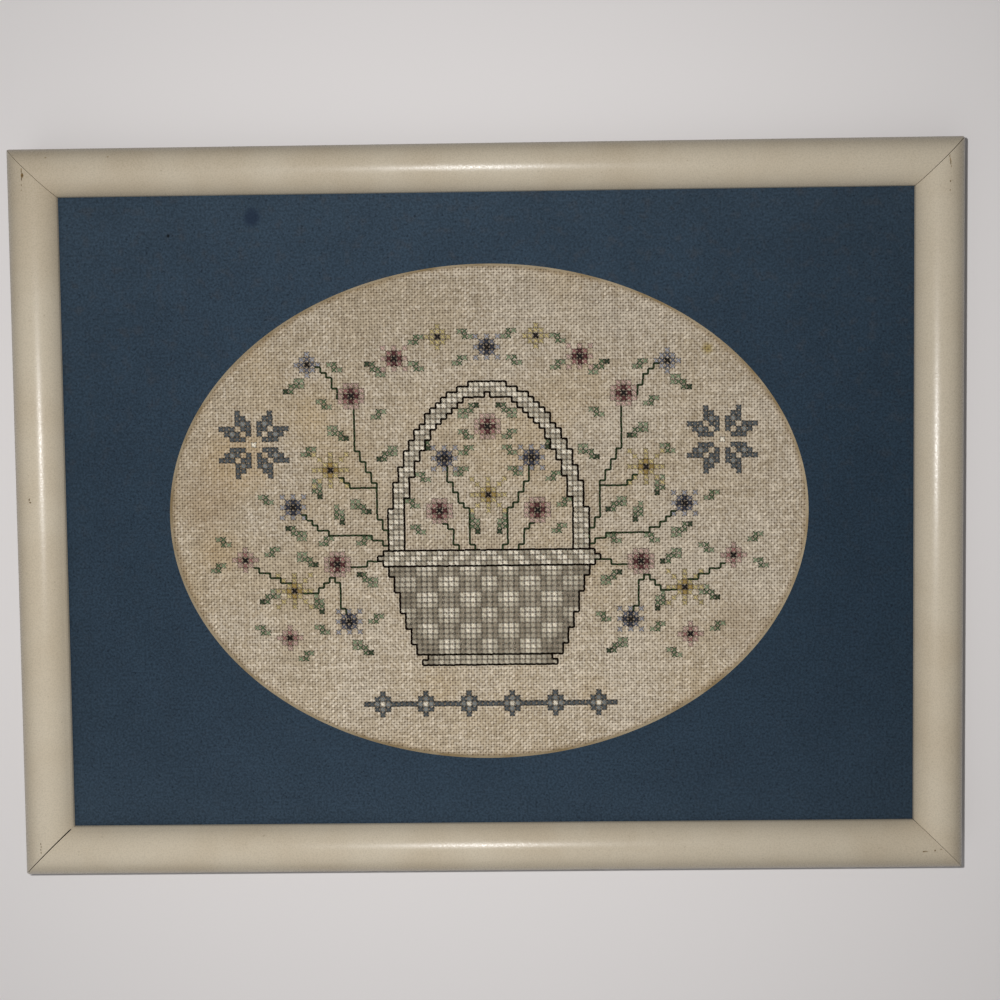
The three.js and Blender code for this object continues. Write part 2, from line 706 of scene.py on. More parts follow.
@dataclass(frozen=True)
class RawFinish:
    """A dull, unpainted surface where two colours mingle over a fine relief.

    The patches and the relief have that many features for each metre along X, Y and Z. On an
    upright piece X and Y change places.
    """

    name: str
    first: Colour
    second: Colour
    patches: Place
    patch_detail: float
    patch_cover: Ramp
    relief: Place
    relief_detail: float
    relief_tone: Ramp
    relief_depth: float
    roughness: float
    gloss: float = 0.2
    upright: bool = False

    def make(self) -> bpy.types.Material:
        """Build the material.

        Returns:
            The material.
        """
        sheet = NodeSheet.for_material(self.name)
        _, x, y, z = sheet.place()
        if self.upright:
            x, y = y, x
        patches, relief = (
            sheet.noise(sheet.vector(x * rates[0], y * rates[1], z * rates[2]), 1.0, detail)
            for rates, detail in ((self.patches, self.patch_detail), (self.relief, self.relief_detail))
        )
        colour = sheet.cover(self.first, self.second, patches, self.patch_cover)
        colour = sheet.shade(colour, relief, self.relief_tone)
        normal = sheet.bump(relief, self.relief_depth)
        return sheet.surface(colour, self.roughness, normal, Specular_IOR_Level=self.gloss)


BARE_WOOD = RawFinish(
    "bare_wood_across", (196, 164, 120), (150, 112, 72),
    (6.0, 420.0, 420.0), 3.0, (0.38, 0.66, 0.0, 1.0),
    (180.0, 2600.0, 2600.0), 1.0, (0.2, 0.8, 0.82, 1.08), 0.03 * MM, 0.72, gloss=0.3,
)
UPRIGHT_BARE_WOOD = replace(BARE_WOOD, name="bare_wood_upright", upright=True)
DIRTY_WOOD = RawFinish(
    "dirty_wood", (92, 74, 46), (156, 128, 88),
    (1500.0, 1500.0, 1500.0), 2.0, (0.4, 0.7, 0.0, 1.0),
    (1500.0, 1500.0, 1500.0), 2.0, (0.0, 1.0, 1.0, 1.0), 0.05 * MM, 0.85,
)
WORN_PAINT = RawFinish(
    "worn_paint", (146, 130, 102), (108, 94, 72),
    (1900.0, 1900.0, 1900.0), 2.0, (0.4, 0.65, 0.0, 1.0),
    (1900.0, 1900.0, 1900.0), 2.0, (0.0, 1.0, 1.0, 1.0), 0.04 * MM, 0.8,
)
TAN_CORE = RawFinish(
    "tan_core", (178, 163, 136), (148, 128, 94),
    (70.0, 70.0, 70.0), 3.0, (0.4, 0.68, 0.0, 1.0),
    (900.0, 900.0, 5000.0), 2.0, (0.25, 0.75, 0.9, 1.08), 0.04 * MM, 0.9,
)


class Wear(Enum):
    """What a mark on the paint laid bare."""

    CRACK = DIRTY_WOOD
    BRUISE = WORN_PAINT


@dataclass(frozen=True)
class BlueCard:
    """Matt dark blue card with a fine pebbled grain, with painted light that makes it paler towards its
    corners and its left.
    """

    blue: Colour = (33, 49, 63)
    faded: Colour = (52, 67, 81)
    fade_at_middle: float = 0.33
    fade_per_square_metre: float = 46.0
    fade_to_the_right: float = -1.15
    fade_to_the_top: float = 0.7
    clouds_per_metre: float = 60.0
    cloud_tone: Ramp = (0.3, 0.7, 0.95, 1.05)
    rust: Colour = (66, 66, 68)
    rust_per_metre: float = 240.0
    rust_cover: Ramp = (0.5, 0.75, 0.0, 0.30)
    rust_upwards: Ramp = (-0.06, 0.10, 0.2, 1.0)
    grain_per_metre: float = 1300.0
    grain_tone: Ramp = (0.3, 0.7, 0.74, 1.26)
    grain_depth: float = 0.06 * MM
    pit: Colour = (22, 31, 42)
    pits_per_metre: float = 1040.0
    pit_cover: Ramp = (0.26, 0.36, 0.6, 0.0)
    spots: tuple[Stain, ...] = (
        Stain(-81.5, 103.4, 4.2, (30, 42, 62), 0.7, ragged=1.0, core=0.3),
        Stain(-111.1, 97.6, 0.7, (12, 17, 22), 0.95, ragged=1.0, core=0.3),
    )
    roughness: float = 0.85
    gloss: float = 0.15

    def make(self) -> bpy.types.Material:
        """Build the material.

        Returns:
            The material.
        """
        sheet = NodeSheet.for_material("blue_card")
        point, x, y, _ = sheet.place()
        # Painted light: the blue turns paler away from the middle row, towards the left and towards the
        # top.
        painted_light_share = self.fade_at_middle + y * y * self.fade_per_square_metre
        painted_light_share = painted_light_share + x * self.fade_to_the_right + y * self.fade_to_the_top
        painted_light_share = sheet.math("MINIMUM", sheet.math("MAXIMUM", painted_light_share, 0.0), 1.0)
        colour = sheet.blend(painted_light_share, self.blue, self.faded)
        cloud = sheet.noise(point, self.clouds_per_metre, 3.0)
        colour = sheet.shade(colour, cloud, self.cloud_tone)
        # Grey mottles, more of them towards the top.
        rust = sheet.noise(sheet.vector(x, y, 2.0), self.rust_per_metre, 3.0)
        rust = sheet.ramp(rust, self.rust_cover) * sheet.ramp(y, self.rust_upwards)
        colour = sheet.blend(rust, colour, self.rust)
        grain = sheet.noise(point, self.grain_per_metre, 3.0)
        colour = sheet.shade(colour, grain, self.grain_tone)
        pits = sheet.noise(point, self.pits_per_metre, 1.0)
        colour = sheet.cover(colour, self.pit, pits, self.pit_cover)
        for spot in self.spots:
            colour = spot.laid_on(sheet, colour, x, y, cloud)
        normal = sheet.bump(grain, self.grain_depth)
        return sheet.surface(colour, self.roughness, normal, Specular_IOR_Level=self.gloss)


@dataclass(frozen=True)
class GreyBoard:
    """Plain grey-brown board with short fibres."""

    grey: Colour = (150, 138, 118)
    fleck: Colour = (112, 98, 78)
    fibres_along: float = 500.0
    fibres_across: float = 1500.0
    fibre_tone: Ramp = (0.25, 0.75, 0.88, 1.1)
    fibre_depth: float = 0.05 * MM
    flecks_per_metre: float = 700.0
    fleck_cover: Ramp = (0.66, 0.74, 0.0, 0.7)
    roughness: float = 0.9
    gloss: float = 0.2

    def make(self) -> bpy.types.Material:
        """Build the material.

        Returns:
            The material.
        """
        sheet = NodeSheet.for_material("grey_board")
        point, x, y, z = sheet.place()
        stretched = sheet.vector(x * self.fibres_along, y * self.fibres_across, z * self.fibres_across)
        fibres = sheet.noise(stretched, 1.0, 3.0)
        flecks = sheet.noise(point, self.flecks_per_metre, 1.0)
        colour = sheet.shade(self.grey, fibres, self.fibre_tone)
        colour = sheet.cover(colour, self.fleck, flecks, self.fleck_cover)
        normal = sheet.bump(fibres, self.fibre_depth)
        return sheet.surface(colour, self.roughness, normal, Specular_IOR_Level=self.gloss)


@dataclass
class Weave:
    """Where a point lies in the weave.

    Its place is counted in threads along the width and the height. The tone and the slub are
    those of the thread on top.
    """

    u: Term
    v: Term
    height: Term
    upright_on_top: Term
    tone: Term
    slub: Term
    crossing: Term


@dataclass(frozen=True)
class EvenweaveLinen:
    """Oatmeal linen in a plain weave, slubbed and uneven, with age stains and painted light that
    brightens it towards its foot.
    """

    thread_across: float
    thread_up: float
    window_a: float
    window_b: float
    window_drop: float
    bleached: Colour = (201, 188, 168)
    oatmeal: Colour = (190, 174, 149)
    shadow: Colour = (84, 66, 48)
    fleck: Colour = (132, 106, 76)
    burn: Colour = (136, 113, 78)
    age: Colour = (178, 152, 108)
    drifts_per_metre: float = 90.0
    drift_threads: float = 0.5
    slubs_per_thread: float = 0.11
    thread_half_width: Ramp = (0.25, 0.75, 0.40, 0.53)
    thread_tone: Ramp = (0.0, 1.0, 0.91, 1.06)
    slub_tone: Ramp = (0.25, 0.75, 0.86, 1.07)
    fibres_per_metre: float = 2300.0
    fibre_tone: Ramp = (0.25, 0.75, 0.82, 1.14)
    crossing_tone: Ramp = (0.0, 1.0, 0.88, 1.06)
    on_top_tone: Ramp = (0.0, 1.0, 0.97, 1.03)
    foot_tone: Ramp = (-0.085, 0.02, 1.15, 1.0)
    head_tone: Ramp = (0.03, 0.08, 1.0, 0.94)
    zones_per_metre: float = 34.0
    bleaching: Ramp = (0.30, 0.70, 0.0, 1.0)
    crossing_bleach: float = 0.35
    thread_bleach: float = 0.2
    flecks_along: float = 260.0
    flecks_across: float = 1100.0
    fleck_cover: Ramp = (0.66, 0.78, 0.0, 0.6)
    clouds_per_metre: float = 22.0
    age_cover: Ramp = (0.45, 0.75, 0.0, 0.30)
    burn_cover: Ramp = (0.978, 0.995, 0.0, 0.5)
    burn_raggedness: float = 0.03
    leans_per_metre: float = 16.0
    lean_change: Ramp = (0.47, 0.60, 0.0, 1.0)
    lean_pull: float = 0.17
    looseness_per_metre: float = 420.0
    looseness: float = 0.55
    gap_cover: Ramp = (0.06, 0.74, 0.94, 0.0)
    relief: float = 0.12 * MM
    roughness: float = 0.88
    gloss: float = 0.2
    sheen: float = 0.15
    sheen_roughness: float = 0.5
    stains: tuple[Stain, ...] = (
        Stain(77.7, 56.3, 2.9, (158, 138, 76), 0.8),
        Stain(-88.0, 18.0, 17.0, (182, 150, 98), 0.35),
        Stain(-62.0, 34.0, 14.0, (180, 152, 102), 0.28),
        Stain(-96.0, -14.0, 12.0, (176, 144, 92), 0.32),
        Stain(-20.0, -64.0, 10.0, (178, 150, 100), 0.22),
        Stain(36.0, -66.0, 9.0, (178, 150, 104), 0.22),
        Stain(-100.0, 3.0, 14.0, (160, 134, 100), 0.40),
        Stain(89.0, -42.0, 15.0, (168, 150, 126), 0.42),
    )

    def make(self) -> bpy.types.Material:
        """Build the material.

        Returns:
            The material.
        """
        sheet = NodeSheet.for_material("natural_linen")
        point, x, y, _ = sheet.place()
        weave = self._weave(sheet, x, y)
        fibre = sheet.noise(point, self.fibres_per_metre)
        # The last two factors are painted light: brighter towards the foot, darker near the head.
        brightness = (
            sheet.ramp(weave.tone, self.thread_tone)
            * sheet.ramp(weave.slub, self.slub_tone)
            * sheet.ramp(fibre, self.fibre_tone)
            * sheet.ramp(weave.crossing, self.crossing_tone)
            * sheet.ramp(weave.upright_on_top, self.on_top_tone)
            * sheet.ramp(y, self.foot_tone)
            * sheet.ramp(y, self.head_tone)
        )
        zone = sheet.noise(sheet.vector(x, y, 17.0), self.zones_per_metre, 3.0)
        # The last term, in metres, makes the right side a little paler.
        pale = zone + (weave.crossing - 0.5) * self.crossing_bleach
        pale = pale + (weave.tone - 0.5) * self.thread_bleach + x
        colour = sheet.scale(sheet.cover(self.oatmeal, self.bleached, pale, self.bleaching), brightness)
        colour = self._flecked(sheet, colour, x, y, weave.upright_on_top)
        colour = self._stained(sheet, colour, x, y)
        gap = weave.height + self._pull(sheet, weave, x, y)
        colour = sheet.cover(colour, self.shadow, gap, self.gap_cover)
        return sheet.surface(
            colour, self.roughness, sheet.bump(weave.height, self.relief),
            Specular_IOR_Level=self.gloss,
            Sheen_Weight=self.sheen, Sheen_Roughness=self.sheen_roughness,
        )

    def _weave(self, sheet: NodeSheet, x: Term, y: Term) -> Weave:
        """Lay out the threads.

        Args:
            sheet: The material's node sheet.
            x: The place along the width.
            y: The place along the height.

        Returns:
            Where the point lies in the weave.
        """
        drift = sheet.noise(sheet.vector(x, y), self.drifts_per_metre) - 0.5
        other_drift = sheet.noise(sheet.vector(x, y, 3.0), self.drifts_per_metre) - 0.5
        u = x / self.thread_across + drift * self.drift_threads
        v = y / self.thread_up + other_drift * self.drift_threads
        column = sheet.math("FLOOR", u)
        row = sheet.math("FLOOR", v)
        across = u - column - 0.5
        up = v - row - 0.5

        # The factors on column and row set neighbouring threads' slubs apart.
        upright_slub = sheet.noise(sheet.vector(column * 7.31, v * self.slubs_per_thread))
        level_slub = sheet.noise(sheet.vector(u * self.slubs_per_thread, row * 5.17, 40.0))
        upright_tone = sheet.chance(column, 11.0)
        level_tone = sheet.chance(row, 29.0)

        even = sheet.math("ABSOLUTE", sheet.math("MODULO", column + row, 2.0))
        over = 1.0 - even * 2.0
        upright = self._thread_height(sheet, across, up, upright_slub, over)
        level = self._thread_height(sheet, up, across, level_slub, over * -1.0)
        on_top = sheet.math("GREATER_THAN", upright, level)
        return Weave(
            u, v, sheet.math("MAXIMUM", upright, level), on_top,
            level_tone + (upright_tone - level_tone) * on_top,
            level_slub + (upright_slub - level_slub) * on_top,
            sheet.chance(column, row, 3.0),
        )

    def _thread_height(
        self, sheet: NodeSheet, across: Term, along: Term, slub: Term, over: Term
    ) -> Term:
        """The height of one set of threads, from 0 to 1.

        Args:
            sheet: The material's node sheet.
            across: The place across the thread, from -0.5 to 0.5.
            along: The place along the thread from the crossing's middle, from -0.5 to 0.5.
            slub: Noise that thickens and thins the thread.
            over: 1 where the thread passes over the other one, and -1 where it passes under.

        Returns:
            The height.
        """
        share = across / sheet.ramp(slub, self.thread_half_width)
        body = sheet.math("SQRT", sheet.math("MAXIMUM", 1.0 - share * share, 0.0))
        wave = sheet.math("COSINE", along * math.pi)
        return body * (0.5 + over * wave * 0.5)

    def _pull(self, sheet: NodeSheet, weave: Weave, x: Term, y: Term) -> Term:
        """How much the holes close or open, pulled along one diagonal or the other.

        Args:
            sheet: The material's node sheet.
            weave: Where the point lies in the weave.
            x: The place along the width.
            y: The place along the height.

        Returns:
            What the pull and the looseness add to the threads' height.
        """
        rising = sheet.math("COSINE", (weave.u - weave.v) * math.pi)
        falling = sheet.math("COSINE", (weave.u + weave.v) * math.pi)
        lean = sheet.noise(sheet.vector(x, y, 23.0), self.leans_per_metre, 1.0)
        pull = rising + (falling - rising) * sheet.ramp(lean, self.lean_change)
        loose = sheet.noise(sheet.vector(x, y, 31.0), self.looseness_per_metre) - 0.5
        return pull * self.lean_pull + loose * self.looseness

    def _flecked(
        self, sheet: NodeSheet, colour: object, x: Term, y: Term, upright_on_top: Term
    ) -> bpy.types.NodeSocket:
        """Add the short dark fibres that run along the threads.

        Args:
            sheet: The material's node sheet.
            colour: The cloth's colour.
            x: The place along the width.
            y: The place along the height.
            upright_on_top: 1 where an upright thread is on top, and 0 otherwise.

        Returns:
            The flecked colour.
        """
        level = sheet.noise(sheet.vector(x * self.flecks_along, y * self.flecks_across), 1.0, 1.0)
        upright = sheet.noise(
            sheet.vector(x * self.flecks_across, y * self.flecks_along, 5.0), 1.0, 1.0
        )
        flecks = level + (upright - level) * upright_on_top
        return sheet.cover(colour, self.fleck, flecks, self.fleck_cover)

    def _stained(self, sheet: NodeSheet, colour: object, x: Term, y: Term) -> bpy.types.NodeSocket:
        """Add the cloth's general ageing, its stains and the burn line at the window's edge.

        Args:
            sheet: The material's node sheet.
            colour: The clean cloth's colour.
            x: The place along the width.
            y: The place along the height.

        Returns:
            The stained colour.
        """
        cloud = sheet.noise(sheet.vector(x, y, 9.0), self.clouds_per_metre, 4.0)
        colour = sheet.cover(colour, self.age, cloud, self.age_cover)
        for stain in self.stains:
            colour = stain.laid_on(sheet, colour, x, y, cloud)
        reach = sheet.length(x / self.window_a, (y + self.window_drop) / self.window_b)
        ragged = reach + (cloud - 0.5) * self.burn_raggedness
        return sheet.cover(colour, self.burn, ragged, self.burn_cover)


@dataclass(frozen=True)
class CottonFloss:
    """Stranded cotton: soft gloss, a twist along each strand, its own tone to each stitch, and painted
    shade in the twist, at the strands' sides and where they dip into the cloth.
    """

    thread: Thread
    twists_per_metre: float = 900.0
    twist_tone: Ramp = (-1.0, 1.0, 0.84, 1.08)
    twist_depth: float = 0.05 * MM
    hairs_per_metre: float = 3600.0
    hair_tone: Ramp = (0.25, 0.75, 0.86, 1.10)
    stitch_tone: Ramp = (0.0, 1.0, 0.76, 1.12)
    side_tone: Ramp = (0.4, 1.0, 1.06, 0.55)
    dip_tone: Ramp = (0.4, 0.95, 1.0, 0.14)
    roughness: float = 0.62
    gloss: float = 0.26
    sheen: float = 0.12
    sheen_roughness: float = 0.4

    def make(self) -> bpy.types.Material:
        """Build the material.

        Returns:
            The material.
        """
        sheet = NodeSheet.for_material(f"floss_{self.thread.label}")
        along, side, top = sheet.parts(sheet.attribute("lay").outputs["Vector"])
        tone = Term(sheet, sheet.attribute("tone").outputs["Fac"])
        dip = Term(sheet, sheet.attribute("dip").outputs["Fac"])
        turn = along * (self.twists_per_metre * 2 * math.pi)
        twist = side * sheet.math("COSINE", turn) + top * sheet.math("SINE", turn)
        point, *_ = sheet.place()
        # The stitch's tone holds its random tone and the legs' painted shade and light.
        colour = sheet.shade(self.thread.value, tone, self.stitch_tone)
        colour = sheet.shade(colour, sheet.noise(point, self.hairs_per_metre), self.hair_tone)
        # Painted shade: darker in the twist's grooves, at each strand's sides and where it dips into the
        # cloth.
        colour = sheet.shade(colour, twist, self.twist_tone)
        colour = sheet.shade(colour, sheet.math("ABSOLUTE", side), self.side_tone)
        colour = sheet.shade(colour, dip, self.dip_tone)
        relief = sheet.ramp(twist, (-1.0, 1.0, 0.0, 1.0))
        return sheet.surface(
            colour, self.roughness, sheet.bump(relief, self.twist_depth),
            Specular_IOR_Level=self.gloss,
            Sheen_Weight=self.sheen, Sheen_Roughness=self.sheen_roughness,
        )


@dataclass(frozen=True)
class StudioFloor:
    """A plain matt floor, pale to the eye and dimmer to the light that it throws back."""

    pale: Colour = (231, 227, 226)
    dim: Colour = (118, 114, 110)
    roughness: float = 0.9
    gloss: float = 0.1

    def make(self) -> bpy.types.Material:
        """Build the material.

        Returns:
            The material.
        """
        sheet = NodeSheet.for_material("studio_floor")
        seen = sheet.seen("Is Camera Ray", "Is Glossy Ray", "Is Transmission Ray")
        colour = sheet.blend(seen, self.dim, self.pale)
        return sheet.surface(colour, self.roughness, Specular_IOR_Level=self.gloss)


# ---------------------------------------------------------------- the wood frame


@dataclass(frozen=True)
class MouldingSection:
    """The rail's section: u runs from its outer side to its sight edge, z from its back up."""

    width: float = 15.6 * MM
    depth: float = 19.0 * MM
    crown_offset: float = 6.9 * MM
    side_height: float = 15.0 * MM
    sight_height: float = 12.2 * MM
    lip_width: float = 4.2 * MM
    rabbet_depth: float = 11.0 * MM
    inner_arc_steps: int = 22
    outer_arc_steps: int = 14

    def arc_radius(self, span: float, drop: float) -> float:
        """The radius of an arc that starts level and falls by drop over span."""
        return (span**2 + drop**2) / (2 * drop)

    @property
    def inner_radius(self) -> float:
        """The radius of the face from the crown to the sight edge."""
        return self.arc_radius(self.width - self.crown_offset, self.depth - self.sight_height)

    @property
    def outer_radius(self) -> float:
        """The radius of the face from the crown to the outer side."""
        return self.arc_radius(self.crown_offset, self.depth - self.side_height)

    def face_height(self, u: float) -> float:
        """The height of the rounded face at u."""
        radius = self.outer_radius if u < self.crown_offset else self.inner_radius
        return self.depth - radius + math.sqrt(radius**2 - (u - self.crown_offset) ** 2)


@dataclass(frozen=True)
class Mitre:
    """A joint's gaps at the outer side and the sight edge, and how far from there it is shut."""

    outer_gap: float
    sight_gap: float
    closed_end: float = 0.0


@dataclass(frozen=True)
class WearMark:
    """A scrap of lost or bruised paint on a rail's face, with its half sizes, in millimetres."""

    side: Side
    wear: Wear
    x: float
    y: float
    half_x: float
    half_y: float


@dataclass
class WoodFrame:
    """Four mitred rails with a rounded, painted face and a rabbet behind a lip."""

    width: float
    height: float
    section: MouldingSection = field(default_factory=MouldingSection)
    arris: float = 0.35 * MM
    sharpest_arris: float = 20.0
    smoothest_edge: float = 12.0
    blunt_tip: float = 0.5 * MM
    mitres: dict[Corner, Mitre] = field(
        default_factory=lambda: {
            Corner.TOP_LEFT: Mitre(0.12 * MM, 0.12 * MM),
            Corner.TOP_RIGHT: Mitre(0.22 * MM, 0.14 * MM),
            Corner.BOTTOM_RIGHT: Mitre(0.10 * MM, 0.14 * MM),
            Corner.BOTTOM_LEFT: Mitre(0.18 * MM, 0.40 * MM, 0.5 * MM),
        }
    )
    mark_depth: float = 0.12 * MM
    mark_margin: float = 0.4 * MM
    mark_raggedness: float = 0.3
    first_mark_seed: int = 3
    marks: tuple[WearMark, ...] = (
        WearMark(Side.LEFT, Wear.CRACK, -158.15, 118.5, 0.15, 0.95),
        WearMark(Side.LEFT, Wear.CRACK, -157.90, 116.9, 0.48, 0.85),
        WearMark(Side.LEFT, Wear.CRACK, -158.15, 115.7, 0.15, 0.65),
        WearMark(Side.LEFT, Wear.BRUISE, -158.20, 113.6, 0.12, 0.40),
        WearMark(Side.LEFT, Wear.BRUISE, -158.30, 111.8, 0.14, 0.28),
        WearMark(Side.RIGHT, Wear.BRUISE, 158.10, 119.0, 0.16, 0.60),
        WearMark(Side.RIGHT, Wear.CRACK, 158.25, 118.0, 0.16, 0.60),
        WearMark(Side.RIGHT, Wear.BRUISE, 158.45, 116.9, 0.24, 0.85),
        WearMark(Side.RIGHT, Wear.BRUISE, 158.65, 115.6, 0.14, 0.50),
        WearMark(Side.RIGHT, Wear.BRUISE, 158.35, 110.6, 0.20, 0.40),
        WearMark(Side.RIGHT, Wear.BRUISE, 158.30, 107.6, 0.20, 0.24),
        WearMark(Side.LEFT, Wear.CRACK, -157.95, -114.7, 0.12, 0.42),
        WearMark(Side.LEFT, Wear.BRUISE, -157.80, -115.7, 0.14, 0.40),
        WearMark(Side.LEFT, Wear.CRACK, -157.95, -116.7, 0.12, 0.38),
        WearMark(Side.LEFT, Wear.BRUISE, -157.85, -117.8, 0.16, 0.40),
        WearMark(Side.LEFT, Wear.CRACK, -158.60, 5.9, 0.20, 0.50),
        WearMark(Side.LEFT, Wear.BRUISE, -158.30, 4.9, 0.36, 0.30),
        WearMark(Side.BOTTOM, Wear.CRACK, 150.0, -120.0, 0.36, 0.18),
        WearMark(Side.BOTTOM, Wear.BRUISE, 150.6, -119.9, 0.90, 0.22),
        WearMark(Side.BOTTOM, Wear.BRUISE, 154.0, -119.6, 0.30, 0.36),
        WearMark(Side.BOTTOM, Wear.BRUISE, 156.1, -119.2, 0.40, 0.16),
        WearMark(Side.TOP, Wear.BRUISE, -150.0, 122.9, 0.34, 0.34),
        WearMark(Side.TOP, Wear.BRUISE, -128.6, 122.9, 0.34, 0.30),
    )

    def build(self) -> list[bpy.types.Object]:
        """Model the moulding once, then cut, turn, wear and dress the four rails.

        Returns:
            The rails.
        """
        self.paint = CreamPaint().make()
        self.worn = {wear: wear.value.make() for wear in Wear}
        self.wood = {True: BARE_WOOD.make(), False: UPRIGHT_BARE_WOOD.make()}
        stock = self._moulding()
        rails = [self._rail(stock, side) for side in Side]
        bpy.data.objects.remove(stock)
        return rails

    def _reach(self, side: Side) -> float:
        """How far a side's outer face stands from the middle of the frame."""
        return (self.height if side in (Side.TOP, Side.BOTTOM) else self.width) / 2

    def _moulding(self) -> bpy.types.Object:
        """Draw the section and extrude it into a length of moulding along X.

        Returns:
            The moulding, with its outer side on the plane y = 0.
        """
        section = self.section
        crown = (section.crown_offset, section.depth)
        inner_centre = (section.crown_offset, section.depth - section.inner_radius)
        outer_centre = (section.crown_offset, section.depth - section.outer_radius)
        rabbet_width = section.width - section.lip_width
        pen = SectionPen("moulding", -self.width / 2, (0.0, 0.0))
        pen.line_to((rabbet_width, 0.0))
        pen.line_to((rabbet_width, section.rabbet_depth))
        pen.line_to((section.width, section.rabbet_depth))
        pen.line_to((section.width, section.sight_height))
        pen.arc_to(crown, inner_centre, section.inner_arc_steps)
        pen.arc_to((0.0, section.side_height), outer_centre, section.outer_arc_steps)
        moulding = pen.close()
        bpy.ops.mesh.extrude_region_move(TRANSFORM_OT_translate={"value": (self.width, 0, 0)})
        bpy.ops.mesh.select_all(action="SELECT")
        bpy.ops.mesh.remove_doubles(threshold=FINE)
        bpy.ops.mesh.normals_make_consistent(inside=False)
        Bench.rest()
        moulding.data.materials.append(self.paint)
        return moulding

    def _rail(self, stock: bpy.types.Object, side: Side) -> bpy.types.Object:
        """Cut one rail from the moulding and finish it.

        Args:
            stock: The moulding.
            side: Which rail it becomes.

        Returns:
            The rail.
        """
        rail = Bench.copy(stock, f"painted_{side.node}")
        level = side in (Side.TOP, Side.BOTTOM)
        axis = 1 if level else 0
        Bench.edit(rail)
        bpy.ops.transform.translate(value=(0, -self._reach(side), 0))
        bpy.ops.transform.rotate(
            value=-side.quarter_turns * QUARTER_TURN, orient_axis="Z", center_override=(0, 0, 0)
        )
        for corner in Corner:
            if corner.value[axis] == side.outward[axis]:
                self._cut_mitre(corner, side)
        self._bare_the_back(rail, side, self.wood[level])
        Bench.rest()
        Bench.finish(
            rail, "BEVEL",
            width=self.arris, segments=2,
            limit_method="ANGLE", angle_limit=math.radians(self.sharpest_arris),
        )
        for number, mark in enumerate(self.marks):
            if mark.side == side:
                self._wear(rail, mark, number)
        Bench.smooth(rail, self.smoothest_edge)
        Bench.settle(rail, "cream_paint", side.node)
        return rail

    def _cut_mitre(self, corner: Corner, side: Side) -> None:
        """Cut the open rail's end at a corner and blunt its tip.

        Args:
            corner: The corner.
            side: The rail's side.
        """
        mitre = self.mitres[corner]
        right, top = corner.value
        tip = Vector((right * self.width / 2, top * self.height / 2, 0))
        inward = Vector((-right, -top, 0)).normalized()
        away = Vector((-inward.y, inward.x, 0))
        if away.dot(side.outward * self._reach(side) - tip) > 0:
            away = -away
        sight = tip + inward * self.section.width * math.sqrt(2)
        first = tip - away * mitre.outer_gap / 2
        second = sight - away * mitre.sight_gap / 2
        along = (second - first).normalized()
        facing = Vector((-along.y, along.x, 0))
        if facing.dot(away) < 0:
            facing = -facing
        Bench.cut(first, facing, clear=True)
        if mitre.closed_end:
            Bench.cut(sight - inward * mitre.closed_end, inward)
            Bench.pick_points(
                bpy.context.object,
                lambda place: abs((place - first).dot(facing)) < FINE
                and (sight - place).xy.dot(inward.xy) < mitre.closed_end - FINE,
            )
            bpy.ops.transform.translate(value=away * (mitre.sight_gap / 2 - FINE))
        Bench.cut(tip + inward * self.blunt_tip, -inward, clear=True)

    def _bare_the_back(self, rail: bpy.types.Object, side: Side, wood: bpy.types.Material) -> None:
        """Leave the open rail's back and rabbet bare, and its mitred ends dirty.

        Args:
            rail: The rail, open in edit mode.
            side: The rail's side.
            wood: The bare wood.
        """
        outward = side.outward
        lip = self.section.rabbet_depth + FINE
        rabbet_wall = self._reach(side) - self.section.width + MM

        def is_bare(middle: Vector, normal: Vector) -> bool:
            """Whether a face is on the back or on the rabbet's wall."""
            on_wall = middle.z < lip and middle.dot(outward) > rabbet_wall
            return normal.z < -FACING or (normal.dot(outward) < -FACING and on_wall)

        def is_mitred(_: Vector, normal: Vector) -> bool:
            """Whether a face is one of the rail's two slanting ends."""
            slants = abs(abs(normal.x) - abs(normal.y)) < 1 - FACING
            return abs(normal.z) < 1 - FACING and slants and normal.dot(outward) < 0

        for test, finish in ((is_bare, wood), (is_mitred, self.worn[Wear.CRACK])):
            Bench.pick_faces(rail, test)
            Bench.give_faces(rail, finish)

    def _wear(self, rail: bpy.types.Object, mark: WearMark, number: int) -> None:
        """Cut one crack or dent into a rail's face.

        Args:
            rail: The rail.
            mark: The mark.
            number: Which mark it is, which seeds its ragged outline.
        """
        outward = mark.side.outward
        middle = Vector((mark.x, mark.y, 0)) * MM
        middle.z = self.section.face_height(self._reach(mark.side) - middle.dot(outward))
        Bench.edit(rail)
        along = Vector((-outward.y, outward.x, 0))
        span = max(mark.half_x, mark.half_y) * MM + self.mark_margin
        for end in (-span, span):
            Bench.cut(middle + along * end, along)
        Bench.rest()
        bpy.ops.mesh.primitive_ico_sphere_add(subdivisions=2, radius=1.0, location=(0, 0, 0))
        cutter = Bench.name_new(f"mark_{number}")
        cutter.data.materials.append(self.worn[mark.wear])
        Bench.edit(cutter)
        bpy.ops.transform.vertex_random(
            offset=self.mark_raggedness, seed=self.first_mark_seed + number
        )
        bpy.ops.transform.resize(
            value=(mark.half_x * MM, mark.half_y * MM, self.mark_depth), center_override=(0, 0, 0)
        )
        bpy.ops.transform.translate(value=middle)
        Bench.rest()
        Bench.carve(rail, cutter)


# ---------------------------------------------------------------- mat, cloth and board


